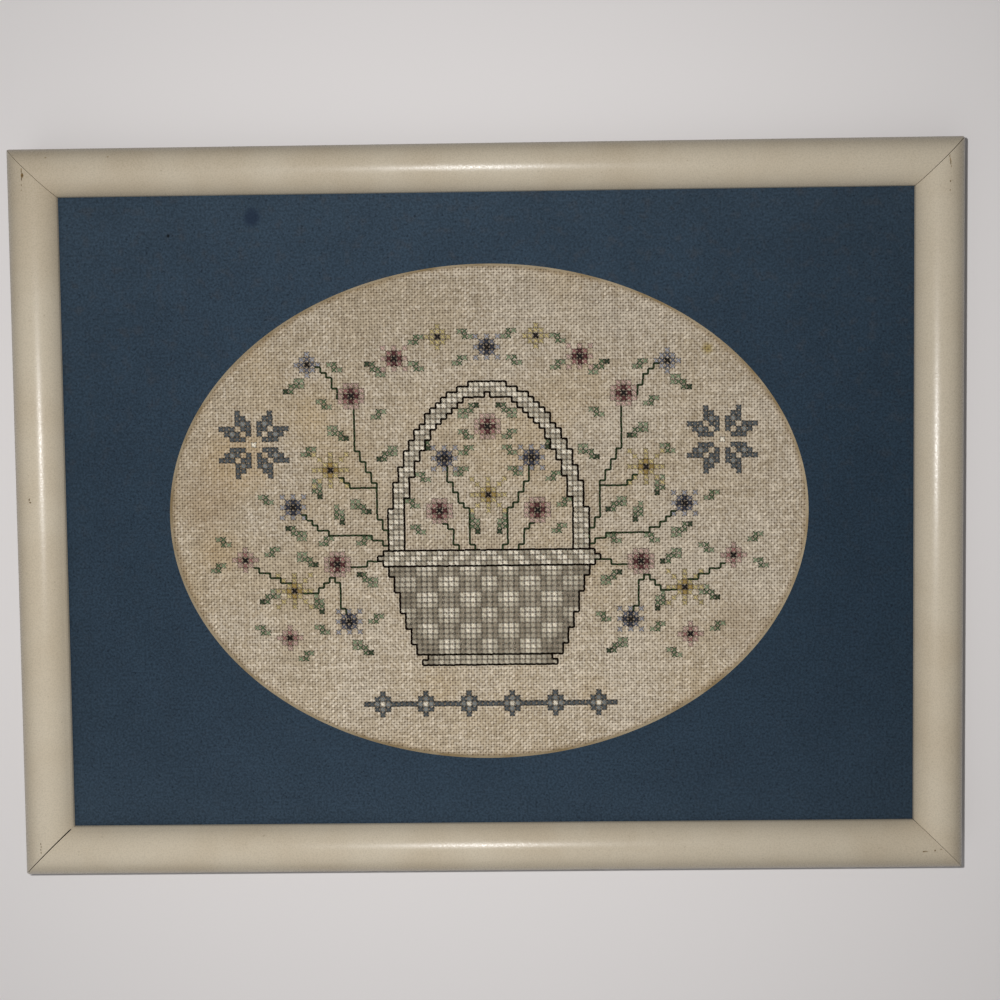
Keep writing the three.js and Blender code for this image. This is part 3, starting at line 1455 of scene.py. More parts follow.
@dataclass
class OvalMat:
    """A card mat whose oval window is cut at a slant, so that its bevel shows."""

    low: Vector
    high: Vector
    window_width: float = 225.4 * MM
    window_height: float = 174.6 * MM
    window_drop: float = 0.8 * MM
    bevel_width: float = 0.5 * MM
    overshoot: float = 0.6 * MM
    window_steps: int = 240
    arris: float = 0.15 * MM
    smoothest_edge: float = 30.0
    nick_place: tuple[float, float] = (83.2 * MM, 57.6 * MM)
    nick_sizes: Place = (0.9 * MM, 0.32 * MM, 0.3 * MM)
    nick_turn: float = -45.0
    nick_raggedness: float = 0.3
    nick_seed: int = 5

    def build(self) -> bpy.types.Object:
        """Model the mat.

        Returns:
            The mat.
        """
        card = BlueCard().make()
        core = TAN_CORE.make()
        middle = (self.low + self.high) / 2
        Bench.rest()
        bpy.ops.mesh.primitive_cube_add(size=1.0, location=middle, scale=self.high - self.low)
        mat = Bench.name_new("oval_mat")
        mat.data.materials.append(card)
        Bench.finish(mat, "BEVEL", width=self.arris, segments=2)
        Bench.carve(mat, self._window_plug(core))
        Bench.carve(mat, self._nick(core))
        Bench.edit(mat)
        Bench.pick_faces(mat, lambda _, normal: normal.z < -FACING)
        Bench.give_faces(mat, core)
        Bench.rest()
        Bench.smooth(mat, self.smoothest_edge)
        Bench.settle(mat, "blue_card", "mat")
        return mat

    def _window_plug(self, core: bpy.types.Material) -> bpy.types.Object:
        """Model the slanting oval plug that cuts the window.

        Args:
            core: The finish that it leaves on the bevel.

        Returns:
            The plug.
        """
        thickness = self.high.z - self.low.z
        middle = (self.low.z + self.high.z) / 2
        Bench.rest()
        bpy.ops.mesh.primitive_cylinder_add(
            vertices=self.window_steps, radius=1.0,
            depth=thickness + 2 * self.overshoot, location=(0, 0, middle),
        )
        plug = Bench.name_new("window_plug")
        plug.data.materials.append(core)
        slope = self.bevel_width / thickness
        Bench.edit(plug)
        for ring in Ring:
            spread = slope * (self.overshoot if ring is Ring.UPPER else -thickness - self.overshoot)
            Bench.pick_points(plug, lambda place, ring=ring: (place.z - middle) * ring.value > 0)
            bpy.ops.transform.resize(
                value=(self.window_width / 2 + spread, self.window_height / 2 + spread, 1.0),
                center_override=(0, 0, 0),
            )
        bpy.ops.mesh.select_all(action="SELECT")
        bpy.ops.transform.translate(value=(0, -self.window_drop, 0))
        Bench.rest()
        return plug

    def _nick(self, core: bpy.types.Material) -> bpy.types.Object:
        """Model the ragged cutter of the nick in the window's edge.

        Args:
            core: The finish that it leaves in the nick.

        Returns:
            The cutter.
        """
        Bench.rest()
        bpy.ops.mesh.primitive_ico_sphere_add(
            subdivisions=2, radius=1.0, scale=self.nick_sizes,
            rotation=(0, 0, math.radians(self.nick_turn)), location=(*self.nick_place, self.high.z),
        )
        nick = Bench.name_new("nick")
        nick.data.materials.append(core)
        Bench.edit(nick)
        bpy.ops.transform.vertex_random(
            offset=self.nick_sizes[2] * self.nick_raggedness, seed=self.nick_seed
        )
        Bench.rest()
        return nick


@dataclass
class GroundCloth:
    """The evenweave linen, stretched flat behind the mat, with a soft unevenness."""

    low: Vector
    high: Vector
    mat: OvalMat
    thread_across: float = 0.962 * MM
    thread_up: float = 0.930 * MM
    cuts: int = 100
    unevenness: float = 0.16 * MM
    swell_size: float = 0.035
    smoothest_edge: float = 40.0

    def build(self) -> bpy.types.Object:
        """Model the cloth.

        Returns:
            The cloth.
        """
        width, length, thickness = self.high - self.low
        Bench.rest()
        bpy.ops.mesh.primitive_plane_add(size=1.0, location=(0, 0, self.high.z))
        cloth = Bench.name_new("linen_cloth")
        Bench.edit(cloth)
        bpy.ops.transform.resize(value=(width, length, 1.0))
        bpy.ops.mesh.subdivide(number_cuts=self.cuts)
        Bench.rest()
        swell = bpy.data.textures.new("cloth_swell", "CLOUDS")
        swell.noise_scale = self.swell_size
        Bench.finish(
            cloth, "DISPLACE",
            texture=swell, texture_coords="LOCAL", strength=self.unevenness, mid_level=0.5,
        )
        Bench.finish(cloth, "SOLIDIFY", thickness=thickness, offset=-1.0, use_even_offset=False)
        Bench.smooth(cloth, self.smoothest_edge)
        finish = EvenweaveLinen(
            self.thread_across, self.thread_up,
            self.mat.window_width / 2, self.mat.window_height / 2, self.mat.window_drop,
        )
        cloth.data.materials.append(finish.make())
        Bench.settle(cloth, "natural_linen", "linen")
        return cloth


# ---------------------------------------------------------------- the chart


@dataclass(frozen=True)
class Motif:
    """A small charted motif: rows from the top, with a letter for each stitched cell."""

    rows: tuple[str, ...]

    def cells(self, flip_x: bool, flip_y: bool) -> Iterable[tuple[int, int, str]]:
        """The stitched cells, counted from the motif's middle.

        Args:
            flip_x: Whether left and right change places.
            flip_y: Whether top and bottom change places.

        Yields:
            Column, row and letter.
        """
        rows = self.rows[::-1] if flip_y else self.rows
        for down, line in enumerate(rows):
            letters = line[::-1] if flip_x else line
            for right, letter in enumerate(letters):
                if letter != ".":
                    yield right - len(line) // 2, len(rows) // 2 - down, letter


ROUND_FLOWER = Motif((
    ".lll.",
    "lmdml",
    "ldcdl",
    "lmdml",
    ".lll.",
))
STAR_FLOWER = Motif((
    "l..l..l",
    ".l.m.l.",
    "..mdm..",
    "lmdcdml",
    "..mdm..",
    ".l.m.l.",
    "l..l..l",
))
CROSS_FLOWER = Motif((
    "..l..",
    ".lml.",
    "lmcml",
    ".lml.",
    "..l..",
))
DAISY = Motif((
    "l.l.l",
    ".mdm.",
    "ldcdl",
    ".mdm.",
    "l.l.l",
))
LEAF = Motif((
    "ss..",
    "sff.",
    "..fg",
))
UPRIGHT_LEAF = Motif((
    ".s",
    "sf",
    "ff",
    "g.",
))
SMALL_LEAF = Motif((
    "sf.",
    ".fs",
))
EIGHT_POINT_STAR = Motif((
    "...b.....b...",
    "...bb...bb...",
    "...bmb.bmb...",
    "bbb.bb.bb.bbb",
    ".bmb.b.b.bmb.",
    "..bbb...bbb..",
    "......p......",
    "..bbb...bbb..",
    ".bmb.b.b.bmb.",
    "bbb.bb.bb.bbb",
    "...bmb.bmb...",
    "...bb...bb...",
    "...b.....b...",
))
BAND_REPEAT = Motif((
    "....b...",
    "...bmb..",
    "bbbmpmbb",
    "...bmb..",
    "....b...",
))


class Family(Enum):
    """A flower's four flosses: light, mid, dark and centre."""

    PINK = (Thread.BLUSH, Thread.ROSE, Thread.WINE, Thread.INK)
    BLUE = (Thread.SKY, Thread.DENIM, Thread.NAVY, Thread.INK)
    YELLOW = (Thread.STRAW, Thread.STRAW, Thread.GOLD, Thread.INK)

    @property
    def threads(self) -> dict[str, Thread]:
        """The floss for each letter of a flower."""
        return dict(zip("lmdc", self.value))


LEAF_THREADS = {"s": Thread.SAGE, "f": Thread.FERN, "g": Thread.MOSS}
BLUE_THREADS = {"b": Thread.SLATE, "m": Thread.MIST, "p": Thread.WHITE}


@dataclass(frozen=True)
class Bloom:
    """A flower on the chart and the bends of its stem; one off the middle has a mirrored twin."""

    column: int
    row: int
    motif: Motif
    family: Family
    stem: tuple[Cell, ...] = ()


@dataclass(frozen=True)
class Leaves:
    """The leaves of one motif that are flipped alike, by their middle cells. Each has a twin."""

    motif: Motif
    middles: tuple[Cell, ...]
    flip_x: bool = False
    flip_y: bool = False


@dataclass
class Basket:
    """The charted basket: a flared woven body on a foot, with a rolled rim and a tall handle."""

    foot_row: int = -29
    body_row: int = -27
    rim_row: int = -10
    rim_top_row: int = -8
    foot_half: int = 11
    body_half_low: int = 13
    body_half_high: int = 18
    rim_half: int = 20
    handle_a: float = 18.6
    handle_b: float = 32.6
    handle_thick: float = 2.6
    block_width: int = 4
    block_height: int = 3
    side_shade: int = 3
    rim_twist: int = 4
    foot_stripe: int = 3
    rope_tones: int = 3
    tones: tuple[Thread, ...] = (Thread.WHITE, Thread.PEARL, Thread.SILVER, Thread.SMOKE)

    def tone(self, level: int) -> Thread:
        """The floss of a shade level, from the palest to the darkest."""
        return self.tones[max(0, min(level, len(self.tones) - 1))]

    def body(self) -> dict[Cell, Thread]:
        """Chart the woven body.

        Returns:
            Its cells.
        """
        cells = {}
        for row in range(self.body_row, self.rim_row):
            rise = (row - self.body_row) / (self.rim_row - 1 - self.body_row)
            half = round(self.body_half_low + (self.body_half_high - self.body_half_low) * rise)
            for column in range(-half, half + 1):
                cells[column, row] = self.tone(self._weave_level(abs(column), row, half))
        return cells

    def _weave_level(self, column: int, row: int, half: int) -> int:
        """The shade level of one cell of the woven body.

        Args:
            column: The cell's distance from the middle.
            row: Its row.
            half: The body's half width on that row.

        Returns:
            The level.
        """
        block, place = divmod(column + self.block_width // 2, self.block_width)
        layer, line = divmod(row - self.body_row, self.block_height)
        over = (block + layer) % 2 == 0
        level = (0 if over else 2) + (place in (0, self.block_width - 1))
        return level + (over and line == 0) + (column > half - self.side_shade)

    def rim(self) -> dict[Cell, Thread]:
        """Chart the rolled rim.

        Returns:
            Its cells.
        """
        cells = {}
        for row in range(self.rim_row, self.rim_top_row + 1):
            half = self.rim_half - (0 if row == self.rim_row + 1 else 1)
            for column in range(-half, half + 1):
                on_top = (abs(column) + row) % self.rim_twist < self.rim_twist / 2
                cells[column, row] = self.tone(0 if on_top else 2)
        return cells

    def foot(self) -> dict[Cell, Thread]:
        """Chart the foot.

        Returns:
            Its cells.
        """
        cells = {}
        for row in range(self.foot_row, self.body_row):
            half = self.foot_half + (self.body_row - row - 1)
            for column in range(-half, half + 1):
                stripe = abs(column) % self.foot_stripe == self.foot_stripe - 1
                cells[column, row] = self.tone(1 + stripe + (abs(column) > half - self.side_shade))
        return cells

    def handle(self) -> dict[Cell, Thread]:
        """Chart the tall handle, twisted like a rope.

        Returns:
            Its cells.
        """
        cells = {}
        half = math.ceil(self.handle_a)
        inner_a, inner_b = self.handle_a - self.handle_thick, self.handle_b - self.handle_thick
        for rise in range(1, math.ceil(self.handle_b) + 1):
            row = self.rim_top_row + rise
            for column in range(-half, half + 1):
                outer = math.hypot(column / self.handle_a, rise / self.handle_b)
                if outer <= 1 < math.hypot(column / inner_a, rise / inner_b):
                    twist = (abs(column) + 2 * row) // 2
                    cells[column, row] = self.tone(twist % self.rope_tones)
        return cells


@dataclass
class Chart:
    """A counted chart: the floss of each crossed cell, and the outline stitches of each floss.

    A lattice point is a cell's lower left corner. The cell in column 0 is on the middle line.
    """

    crosses: dict[Cell, Thread] = field(default_factory=dict)
    outlines: dict[Thread, set[tuple[Cell, Edge]]] = field(default_factory=dict)

    def stamp(
        self, motif: Motif, middle: Cell, threads: dict[str, Thread],
        flip_x: bool = False, flip_y: bool = False, keep: bool = False,
    ) -> None:
        """Cross a motif and, unless it stands on the middle line, its mirrored twin.

        Args:
            motif: The motif.
            middle: Its middle cell.
            threads: The floss for each of its letters.
            flip_x: Whether its left and right change places.
            flip_y: Whether its top and bottom change places.
            keep: Whether cells that are crossed already stay as they are.
        """
        for right, up, letter in motif.cells(flip_x, flip_y):
            cell = (middle[0] + right, middle[1] + up)
            for place in {cell, (-cell[0], cell[1])} if middle[0] else {cell}:
                if not (keep and place in self.crosses):
                    self.crosses[place] = threads[letter]

    def outline(self, cells: Iterable[Cell], thread: Thread) -> None:
        """Outline a set of cells along every edge that it doesn't share with itself.

        Args:
            cells: The cells.
            thread: The outline's floss.
        """
        inside = set(cells)
        lines = self.outlines.setdefault(thread, set())
        for column, row in inside:
            for beside, line in (
                ((column, row - 1), ((column, row), Edge.ACROSS)),
                ((column, row + 1), ((column, row + 1), Edge.ACROSS)),
                ((column - 1, row), ((column, row), Edge.UP)),
                ((column + 1, row), ((column + 1, row), Edge.UP)),
            ):
                if beside not in inside:
                    lines.add(line)

    def stem(self, bends: tuple[Cell, ...], thread: Thread) -> None:
        """Stitch a stepped stem, from its foot, and its mirrored twin."""
        for foot, head in zip(bends, bends[1:]):
            self._stepped_line(foot, head, thread)

    def _stepped_line(self, foot: Cell, head: Cell, thread: Thread) -> None:
        """Stitch the steps nearest to a straight line and their twins, unless crosses hide them.

        Args:
            foot: The lattice point where it starts.
            head: The lattice point where it ends.
            thread: Its floss.
        """
        lines = self.outlines.setdefault(thread, set())
        column, row = foot
        while (column, row) != head:
            run, rise = head[0] - column, head[1] - row
            if abs(run * (head[1] - foot[1])) > abs(rise * (head[0] - foot[0])) or not rise:
                following = (column + (1 if run > 0 else -1), row)
                left = min(column, following[0])
                line, twin = ((left, row), Edge.ACROSS), ((-left, row), Edge.ACROSS)
                beside = {(left, row), (left, row - 1)}
            else:
                following = (column, row + (1 if rise > 0 else -1))
                low = min(row, following[1])
                line, twin = ((column, low), Edge.UP), ((1 - column, low), Edge.UP)
                beside = {(column, low), (column - 1, low)}
            if not beside <= self.crosses.keys():
                lines.update((line, twin))
            column, row = following


@dataclass
class BasketDesign:
    """A traditional sampler design: a basket of flowers between two stars, over a border band."""

    basket: Basket = field(default_factory=Basket)
    blooms: tuple[Bloom, ...] = (
        Bloom(0, 16, ROUND_FLOWER, Family.PINK),
        Bloom(0, 3, STAR_FLOWER, Family.YELLOW),
        Bloom(8, 10, DAISY, Family.BLUE, ((3, -7), (4, 0), (7, 5), (8, 9))),
        Bloom(9, 0, ROUND_FLOWER, Family.PINK, ((6, -7), (7, -4), (9, -1))),
        Bloom(25, 22, ROUND_FLOWER, Family.PINK, ((17, -7), (20, -2), (21, 5), (24, 11), (25, 20))),
        Bloom(29, 8, STAR_FLOWER, Family.YELLOW, ((21, 4), (26, 5), (28, 7))),
        Bloom(33, 28, CROSS_FLOWER, Family.BLUE, ((26, 20), (29, 25), (32, 28))),
        Bloom(36, 1, DAISY, Family.BLUE, ((18, -7), (23, -4), (30, -4), (35, 0))),
        Bloom(28, -10, ROUND_FLOWER, Family.PINK, ((20, -8), (23, -9), (26, -10))),
        Bloom(36, -15, STAR_FLOWER, Family.YELLOW, ((29, -11), (32, -14), (35, -15))),
        Bloom(45, -9, CROSS_FLOWER, Family.PINK, ((37, -14), (41, -12), (44, -10))),
        Bloom(26, -21, DAISY, Family.BLUE, ((29, -12), (28, -17), (26, -20))),
        Bloom(37, -24, CROSS_FLOWER, Family.PINK),
        Bloom(0, 31, DAISY, Family.BLUE),
        Bloom(9, 33, CROSS_FLOWER, Family.YELLOW),
        Bloom(17, 29, DAISY, Family.PINK),
    )
    leaves: tuple[Leaves, ...] = (
        Leaves(LEAF, ((19, 11), (36, 24), (41, -16))),
        Leaves(LEAF, ((24, 1), (28, 15), (34, -9), (24, -26)), flip_x=True),
        Leaves(LEAF, ((36, -4), (23, -13), (21, 27)), flip_y=True),
        Leaves(LEAF, ((4, 19),), flip_x=True, flip_y=True),
        Leaves(UPRIGHT_LEAF, ((3, -3), (12, 13), (17, 3), (32, 4), (28, -1), (32, -18))),
        Leaves(SMALL_LEAF, ((4, 11), (5, 7), (20, 18), (33, 11), (30, -6), (23, -6), (40, -8))),
        Leaves(SMALL_LEAF, ((50, -11), (21, -21), (34, -28), (13, 32), (5, 28))),
        Leaves(SMALL_LEAF, ((13, -4), (12, 6), (30, 20), (49, -6), (42, -23), (13, 27)), flip_x=True),
        Leaves(SMALL_LEAF, ((4, 14), (14, 1), (28, 27), (41, 2), (31, -23), (4, 33)), flip_y=True),
    )
    star: Cell = (43, 13)
    band_row: int = -37
    band_repeats: int = 3
    band_step: int = 8

    def chart(self) -> Chart:
        """Chart the whole design.

        Returns:
            The chart.
        """
        chart = Chart()
        parts = [self.basket.handle(), self.basket.foot(), self.basket.body(), self.basket.rim()]
        for part in parts:
            chart.crosses.update(part)
            chart.outline(part, Thread.INK)
        for bloom in self.blooms:
            chart.stamp(bloom.motif, (bloom.column, bloom.row), bloom.family.threads)
        chart.stamp(EIGHT_POINT_STAR, self.star, BLUE_THREADS)
        for number in range(self.band_repeats):
            middle = self.band_step * number + self.band_step // 2
            chart.stamp(BAND_REPEAT, (middle, self.band_row), BLUE_THREADS)
        for leaves in self.leaves:
            for middle in leaves.middles:
                chart.stamp(leaves.motif, middle, LEAF_THREADS, leaves.flip_x, leaves.flip_y, keep=True)
        for bloom in self.blooms:
            chart.stem(bloom.stem, Thread.MOSS)
        self._uncover(chart)
        return chart

    def _uncover(self, chart: Chart) -> None:
        """Drop the basket's outline stitches where a flower or a leaf covers them.

        Args:
            chart: The chart.
        """
        greys = set(self.basket.tones)
        for line in list(chart.outlines[Thread.INK]):
            (column, row), edge = line
            beside = (column, row - 1) if edge is Edge.ACROSS else (column - 1, row)
            neighbours = [chart.crosses.get(cell) for cell in ((column, row), beside)]
            if not any(thread in greys for thread in neighbours):
                chart.outlines[Thread.INK].remove(line)


# ---------------------------------------------------------------- the stitching


@dataclass(frozen=True)
class Strand:
    """A short run of floss that dips into the cloth at both ends, modelled along X.

    The three rings of each half stand at shares of the half length, at heights above the cloth.
    Their widths are shares of the full one.
    """

    length: float
    half_width: float
    half_height: float
    heights: tuple[float, ...]
    shares: tuple[float, ...] = (0.24, 0.72, 1.0)
    spreads: tuple[float, ...] = (1.0, 0.94, 0.5)
    offsets: tuple[float, ...] = (0.0,)
    sides: int = 5
    ring_slack: float = 0.02 * MM

    def model(self) -> "StitchPattern":
        """Model the strand, lay its neighbours beside it and take its pattern.

        Returns:
            The pattern.
        """
        Bench.rest()
        bpy.ops.mesh.primitive_cylinder_add(
            vertices=self.sides, radius=1.0, depth=self.length, rotation=(0, QUARTER_TURN, 0)
        )
        strand = Bench.name_new("strand")
        Bench.edit(strand)
        half = self.length / 2
        for share in self.shares[:-1]:
            for sign in (-1, 1):
                Bench.cut(Vector((sign * share * half, 0, 0)), Vector((1, 0, 0)))
        for share, height, spread in zip(self.shares, self.heights, self.spreads):
            ring = share * half
            Bench.pick_points(
                strand, lambda place, ring=ring: abs(abs(place.x) - ring) < self.ring_slack
            )
            bpy.ops.transform.resize(
                value=(1, self.half_width * spread, self.half_height * spread), center_override=(0, 0, 0)
            )
            bpy.ops.transform.translate(value=(0, 0, height))
        Bench.rest()
        return StitchPattern.taken_from(strand, self)


@dataclass
class StitchPattern:
    """A strand's mesh as arrays, ready to be laid many times."""

    points: np.ndarray
    faces: list[tuple[int, ...]]
    lay: np.ndarray
    dip: np.ndarray

    @classmethod
    def taken_from(cls, strand: bpy.types.Object, sizes: Strand) -> "StitchPattern":
        """Read a modelled strand, repeat it at its offsets and remove the object.

        Args:
            strand: The modelled strand.
            sizes: Its sizes.

        Returns:
            The pattern.
        """
        mesh = strand.data
        points = np.array([tuple(vertex.co) for vertex in mesh.vertices])
        faces = [tuple(polygon.vertices) for polygon in mesh.polygons]
        bpy.data.objects.remove(strand)
        away = np.abs(points[:, 0])
        rings = [share * sizes.length / 2 for share in sizes.shares]
        bend = np.interp(away, rings, sizes.heights)
        spread = np.interp(away, rings, sizes.spreads)
        side = points[:, 1] / (sizes.half_width * spread)
        top = (points[:, 2] - bend) / (sizes.half_height * spread)
        lay = np.stack([points[:, 0], side, top], axis=1)
        all_points, all_faces = [], []
        for number, offset in enumerate(sizes.offsets):
            moved = points.copy()
            moved[:, 1] += offset * spread
            all_points.append(moved)
            all_faces += [tuple(index + number * len(points) for index in face) for face in faces]
        count = len(sizes.offsets)
        dip = np.tile(away / (sizes.length / 2), count)
        return cls(np.concatenate(all_points), all_faces, np.tile(lay, (count, 1)), dip)


@dataclass(frozen=True)
class Laid:
    """A laid strand: its middle on the cloth, its angle, lengthening, lift and tone."""

    x: float
    y: float
    angle: float
    stretch: float
    lift: float
    tone: float


@dataclass
class Embroidery:
    """The stitching: crosses joined by floss, and outline stitches, on the linen's face.

    The lifts are in millimetres, and the turn is in degrees.
    """

    cloth_top: float
    cell_across: float
    cell_up: float
    seed: int = 41
    wander: float = 0.05 * MM
    turn: float = 1.8
    stretches: tuple[float, float] = (0.985, 1.02)
    lifts: tuple[float, float] = (-0.02, 0.03)
    under_tones: tuple[float, float] = (0.15, 0.60)
    over_light: float = 0.3
    outline_tones: tuple[float, float] = (0.2, 0.8)
    tone_wander: float = 0.12
    strand_half_width: float = 0.23 * MM
    strand_offset: float = 0.20 * MM
    fine_half_width: float = 0.30 * MM
    leg_half_height: float = 0.17 * MM
    leg_end: float = -0.2 * MM
    leg_heights: tuple[Heights, Heights] = ((0.22 * MM, 0.18 * MM), (0.50 * MM, 0.34 * MM))
    fine_leg_heights: tuple[Heights, Heights] = ((0.20 * MM, 0.16 * MM), (0.46 * MM, 0.32 * MM))
    outline_strand: Strand = Strand(
        1.0 * MM, 0.37 * MM, 0.26 * MM, (0.48 * MM, 0.40 * MM, 0.12 * MM),
        shares=(0.3, 0.8, 1.0), spreads=(1.0, 0.95, 0.74), sides=6,
    )
    outline_overlap: float = 1.04
    outline_gloss: float = 0.05

    def __post_init__(self) -> None:
        """Work out the crosses' diagonal and model the strands.

        A cross has an under leg and an over leg, of two strands or of a single fine one.
        """
        self.random = np.random.default_rng(self.seed)
        self.diagonal = math.hypot(self.cell_across, self.cell_up)
        self.slant = math.atan2(self.cell_up, self.cell_across)
        pair = (-self.strand_offset, self.strand_offset)
        self.legs = [
            self._leg(self.strand_half_width, heights, pair) for heights in self.leg_heights
        ]
        self.fine_legs = [
            self._leg(self.fine_half_width, heights, (0.0,)) for heights in self.fine_leg_heights
        ]
        self.line = self.outline_strand.model()

    def _leg(
        self, half_width: float, heights: Heights, offsets: tuple[float, ...]
    ) -> StitchPattern:
        """Model one leg of a cross.

        Args:
            half_width: Half the width of each strand.
            heights: The heights of its middle and its flanks above the cloth.
            offsets: Where its strands lie beside each other.

        Returns:
            Its pattern.
        """
        strand = Strand(
            self.diagonal, half_width, self.leg_half_height, (*heights, self.leg_end), offsets=offsets
        )
        return strand.model()

    def build(self, chart: Chart) -> list[bpy.types.Object]:
        """Stitch a chart.

        Args:
            chart: The chart.

        Returns:
            The pieces, one for each floss's crosses and one for each outline's floss.
        """
        pieces = []
        for thread in Thread:
            cells = sorted(cell for cell, used in chart.crosses.items() if used is thread)
            if cells:
                pieces.append(self._crosses(thread, cells))
        for thread, lines in sorted(chart.outlines.items(), key=lambda item: item[0].name):
            pieces.append(self._outline(thread, sorted(lines, key=lambda line: (line[0], line[1].name))))
        return pieces

    def _crosses(self, thread: Thread, cells: list[Cell]) -> bpy.types.Object:
        """Lay the two legs of each cross.

        Args:
            thread: The floss.
            cells: The cells.

        Returns:
            The piece.
        """
        under, over = [], []
        for column, row in cells:
            x, y = column * self.cell_across, row * self.cell_up
            # Painted shade and light: the under leg gets a darker tone, the over leg a lighter one.
            tone = self.random.uniform(*self.under_tones)
            under.append(self._laid(x, y, self.slant, 1.0, tone))
            over.append(self._laid(x, y, -self.slant, 1.0, tone + self.over_light))
        patterns = self.fine_legs if thread in FINE_FLOSS else self.legs
        material = CottonFloss(thread).make()
        return self._joined(f"floss_{thread.label}", list(zip(patterns, (under, over))), material)

    def _outline(self, thread: Thread, lines: list[tuple[Cell, Edge]]) -> bpy.types.Object:
        """Lay one strand along each outlined edge.

        Args:
            thread: The floss.
            lines: The edges, each by its lattice point and the way that it runs.

        Returns:
            The piece.
        """
        laid = []
        for (column, row), edge in lines:
            x = (column - 0.5 + edge.value[0] / 2) * self.cell_across
            y = (row - 0.5 + edge.value[1] / 2) * self.cell_up
            length = self.cell_across if edge is Edge.ACROSS else self.cell_up
            angle = 0.0 if edge is Edge.ACROSS else QUARTER_TURN
            stretch = length / self.outline_strand.length * self.outline_overlap
            laid.append(self._laid(x, y, angle, stretch, self.random.uniform(*self.outline_tones)))
        name = f"outline_{thread.label}"
        material = CottonFloss(thread, gloss=self.outline_gloss, sheen=0.0).make()
        material.name = name
        return self._joined(name, [(self.line, laid)], material)

    def _laid(self, x: float, y: float, angle: float, stretch: float, tone: float) -> Laid:
        """Lay one strand near its place, a little off and out of true.

        Args:
            x: Its middle along the width.
            y: Its middle along the height.
            angle: Its angle from the width.
            stretch: Its length as a share of its pattern's.
            tone: Its tone, from 0 to 1.

        Returns:
            The strand.
        """
        return Laid(
            x + self.random.normal(0, self.wander),
            y + self.random.normal(0, self.wander),
            angle + self.random.normal(0, math.radians(self.turn)),
            stretch * self.random.uniform(*self.stretches),
            self.random.uniform(*self.lifts) * MM,
            float(np.clip(tone + self.random.normal(0, self.tone_wander), 0, 1)),
        )

    def _joined(
        self, name: str, batches: list[tuple[StitchPattern, list[Laid]]], material: bpy.types.Material
    ) -> bpy.types.Object:
        """Join every laid strand of a piece into one mesh with its own attributes.

        Args:
            name: The piece's name.
            batches: Each pattern with the strands laid from it.
            material: The piece's finish.

        Returns:
            The piece.
        """
        points, faces, lay, tones, dips = [], [], [], [], []
        count = 0
        for pattern, laid in batches:
            for strand in laid:
                stretched = np.array([strand.stretch, 1.0, 1.0])
                x, y, z = (pattern.points * stretched).T
                cosine, sine = math.cos(strand.angle), math.sin(strand.angle)
                turned_x = x * cosine - y * sine + strand.x
                turned_y = x * sine + y * cosine + strand.y
                lifted = z + strand.lift + self.cloth_top
                points.append(np.stack([turned_x, turned_y, lifted], axis=1))
                faces += [tuple(index + count for index in face) for face in pattern.faces]
                drift = np.array([self.random.uniform(0, 1.0) * MM, 0, 0])
                lay.append(pattern.lay * stretched + drift)
                tones.append(np.full(len(x), strand.tone))
                dips.append(pattern.dip)
                count += len(x)
        mesh = bpy.data.meshes.new(name)
        mesh.from_pydata(np.concatenate(points).tolist(), [], faces)
        for attribute, kind, key, values in (
            ("lay", "FLOAT_VECTOR", "vector", lay),
            ("tone", "FLOAT", "value", tones),
            ("dip", "FLOAT", "value", dips),
        ):
            data = mesh.attributes.new(attribute, kind, "POINT").data
            data.foreach_set(key, np.concatenate(values).ravel())
        mesh.materials.append(material)
        piece = bpy.data.objects.new(name, mesh)
        bpy.context.scene.collection.objects.link(piece)
        Bench.take(piece)
        bpy.ops.object.shade_smooth()
        Bench.settle(piece, "cotton_floss")
        return piece


# ---------------------------------------------------------------- the studio


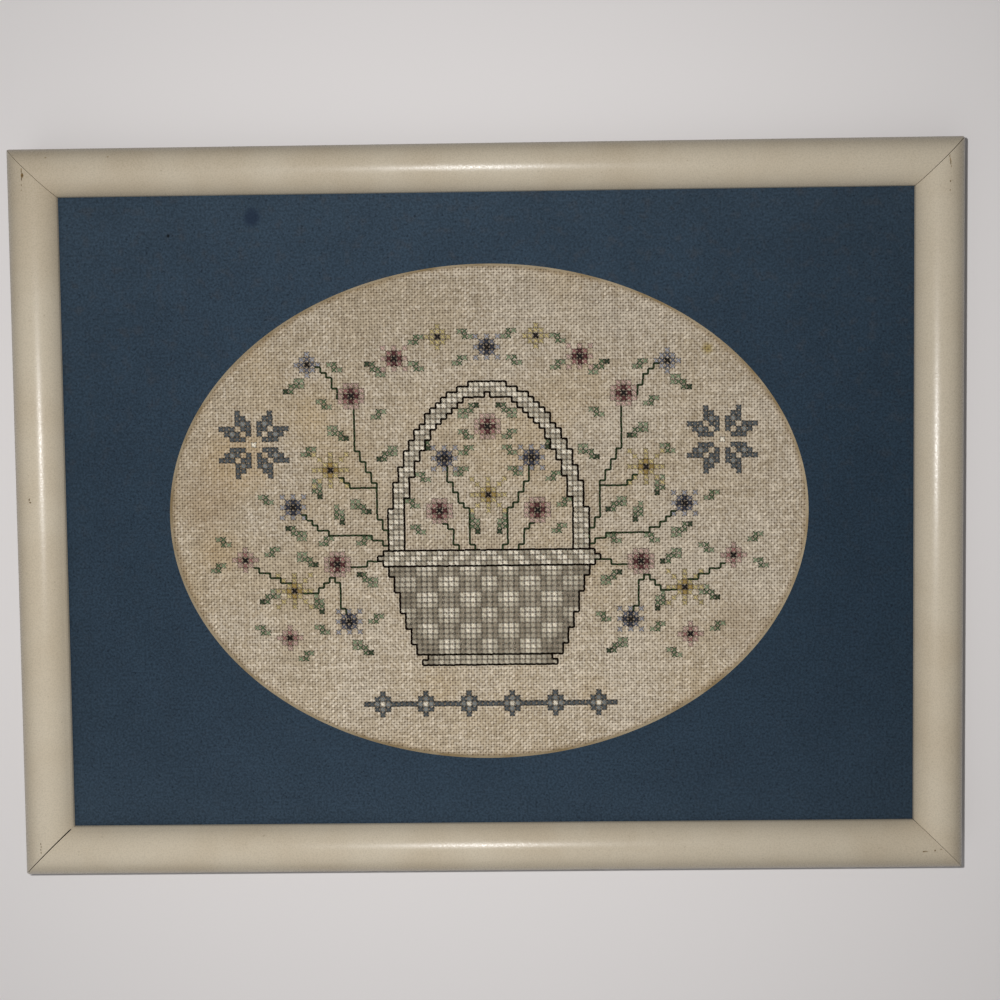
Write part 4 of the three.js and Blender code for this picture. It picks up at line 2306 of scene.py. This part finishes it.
@dataclass
class Studio:
    """The floor, the lamps, the world and the camera."""

    camera_place: Place = (7.11 * MM, 16.07 * MM, 363.22 * MM)
    camera_angles: Place = (-2.016, 0.462, -0.665)
    lens: float = 36.0
    sensor: float = 36.0
    nearest_seen: float = 0.01
    key_place: Place = (-17.0 * MM, 30.0 * MM, 363.0 * MM)
    key_size: float = 6.0 * MM
    key_power: float = 30.0
    key_reach: float = 0.345
    fill_place: Place = (-0.3, -0.55, 0.9)
    fill_size: float = 1.2
    fill_power: float = 2.1
    ambient: float = 0.105
    ambient_light: tuple[float, ...] = (1.0, 0.99, 0.98, 1.0)
    backdrop: Colour = (214, 210, 207)
    floor_size: float = 6.0
    floor_drop: float = 0.05 * MM

    def build(self) -> None:
        """Set the stage."""
        self._camera()
        self._floor()
        self._world()
        self._key_lamp()
        self._fill_lamp()
        bpy.context.scene.view_settings.view_transform = "Standard"

    def _camera(self) -> None:
        """Hang the camera over the picture."""
        data = bpy.data.cameras.new("camera")
        data.lens = self.lens
        data.sensor_width = self.sensor
        data.clip_start = self.nearest_seen
        camera = bpy.data.objects.new("camera", data)
        camera.location = self.camera_place
        camera.rotation_euler = [math.radians(angle) for angle in self.camera_angles]
        bpy.context.scene.collection.objects.link(camera)
        bpy.context.scene.camera = camera

    def _floor(self) -> None:
        """Lay the floor."""
        Bench.rest()
        bpy.ops.mesh.primitive_plane_add(size=self.floor_size, location=(0, 0, -self.floor_drop))
        floor = Bench.name_new("studio_floor")
        floor.data.materials.append(StudioFloor().make())

    def _world(self) -> None:
        """Give the world a pale face to the eye and an even, softer light."""
        world = bpy.data.worlds.new("studio")
        bpy.context.scene.world = world
        sheet = NodeSheet(world)
        seen = sheet.seen("Is Camera Ray", "Is Transmission Ray")
        light, backdrop = (
            sheet.node("ShaderNodeBackground", {"Color": colour, "Strength": strength}).outputs[0]
            for colour, strength in ((self.ambient_light, self.ambient), (self.backdrop, 1.0))
        )
        either = sheet.node("ShaderNodeMixShader", {0: seen, 1: light, 2: backdrop})
        sheet.node("ShaderNodeOutputWorld", {0: either.outputs[0]})

    def _key_lamp(self) -> None:
        """Hang the small main lamp beside the camera. Its light weakens slowly with distance."""
        data = bpy.data.lights.new("key", "POINT")
        data.shadow_soft_size = self.key_size / 2
        data.energy = self.key_power
        data.use_nodes = True
        tree = data.node_tree
        falloff = tree.nodes.new("ShaderNodeLightFalloff")
        falloff.inputs["Strength"].default_value = self.key_reach
        tree.links.new(falloff.outputs["Linear"], tree.nodes["Emission"].inputs["Strength"])
        self._hang(data, self.key_place)

    def _fill_lamp(self) -> None:
        """Hang the broad lamp that softens the shadows."""
        data = bpy.data.lights.new("fill", "AREA")
        data.shape = "DISK"
        data.size = self.fill_size
        data.energy = self.fill_power
        self._hang(data, self.fill_place)

    def _hang(self, data: bpy.types.Light, place: Place) -> None:
        """Hang a lamp, facing the picture's middle.

        Args:
            data: The lamp.
            place: Where it hangs.
        """
        lamp = bpy.data.objects.new(data.name, data)
        lamp.location = place
        lamp.rotation_euler = (-Vector(place)).to_track_quat("-Z", "Y").to_euler()
        lamp.visible_camera = False
        bpy.context.scene.collection.objects.link(lamp)


# ---------------------------------------------------------------- the picture


def main() -> None:
    """Build the picture from its frame to its stitches."""
    logging.basicConfig(level=logging.INFO, format="%(name)s: %(message)s")
    Studio().build()

    low, high = CAD_BOX
    WoodFrame(width=high.x - low.x, height=high.y - low.y).build()

    mat = OvalMat(*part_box("mat"))
    mat.build()

    linen_low, linen_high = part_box("linen")
    cloth = GroundCloth(linen_low, linen_high, mat)
    linen = cloth.build()

    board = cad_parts["backing_board"]
    board.data.materials.clear()
    board.data.materials.append(GreyBoard().make())
    log.info("backing_board: the packed solid, with its finish")

    chart = BasketDesign().chart()
    log.info("chart: %d crosses", len(chart.crosses))
    stitches = Embroidery(linen_high.z, 2 * cloth.thread_across, 2 * cloth.thread_up).build(chart)


if __name__ == "__main__":
    main()
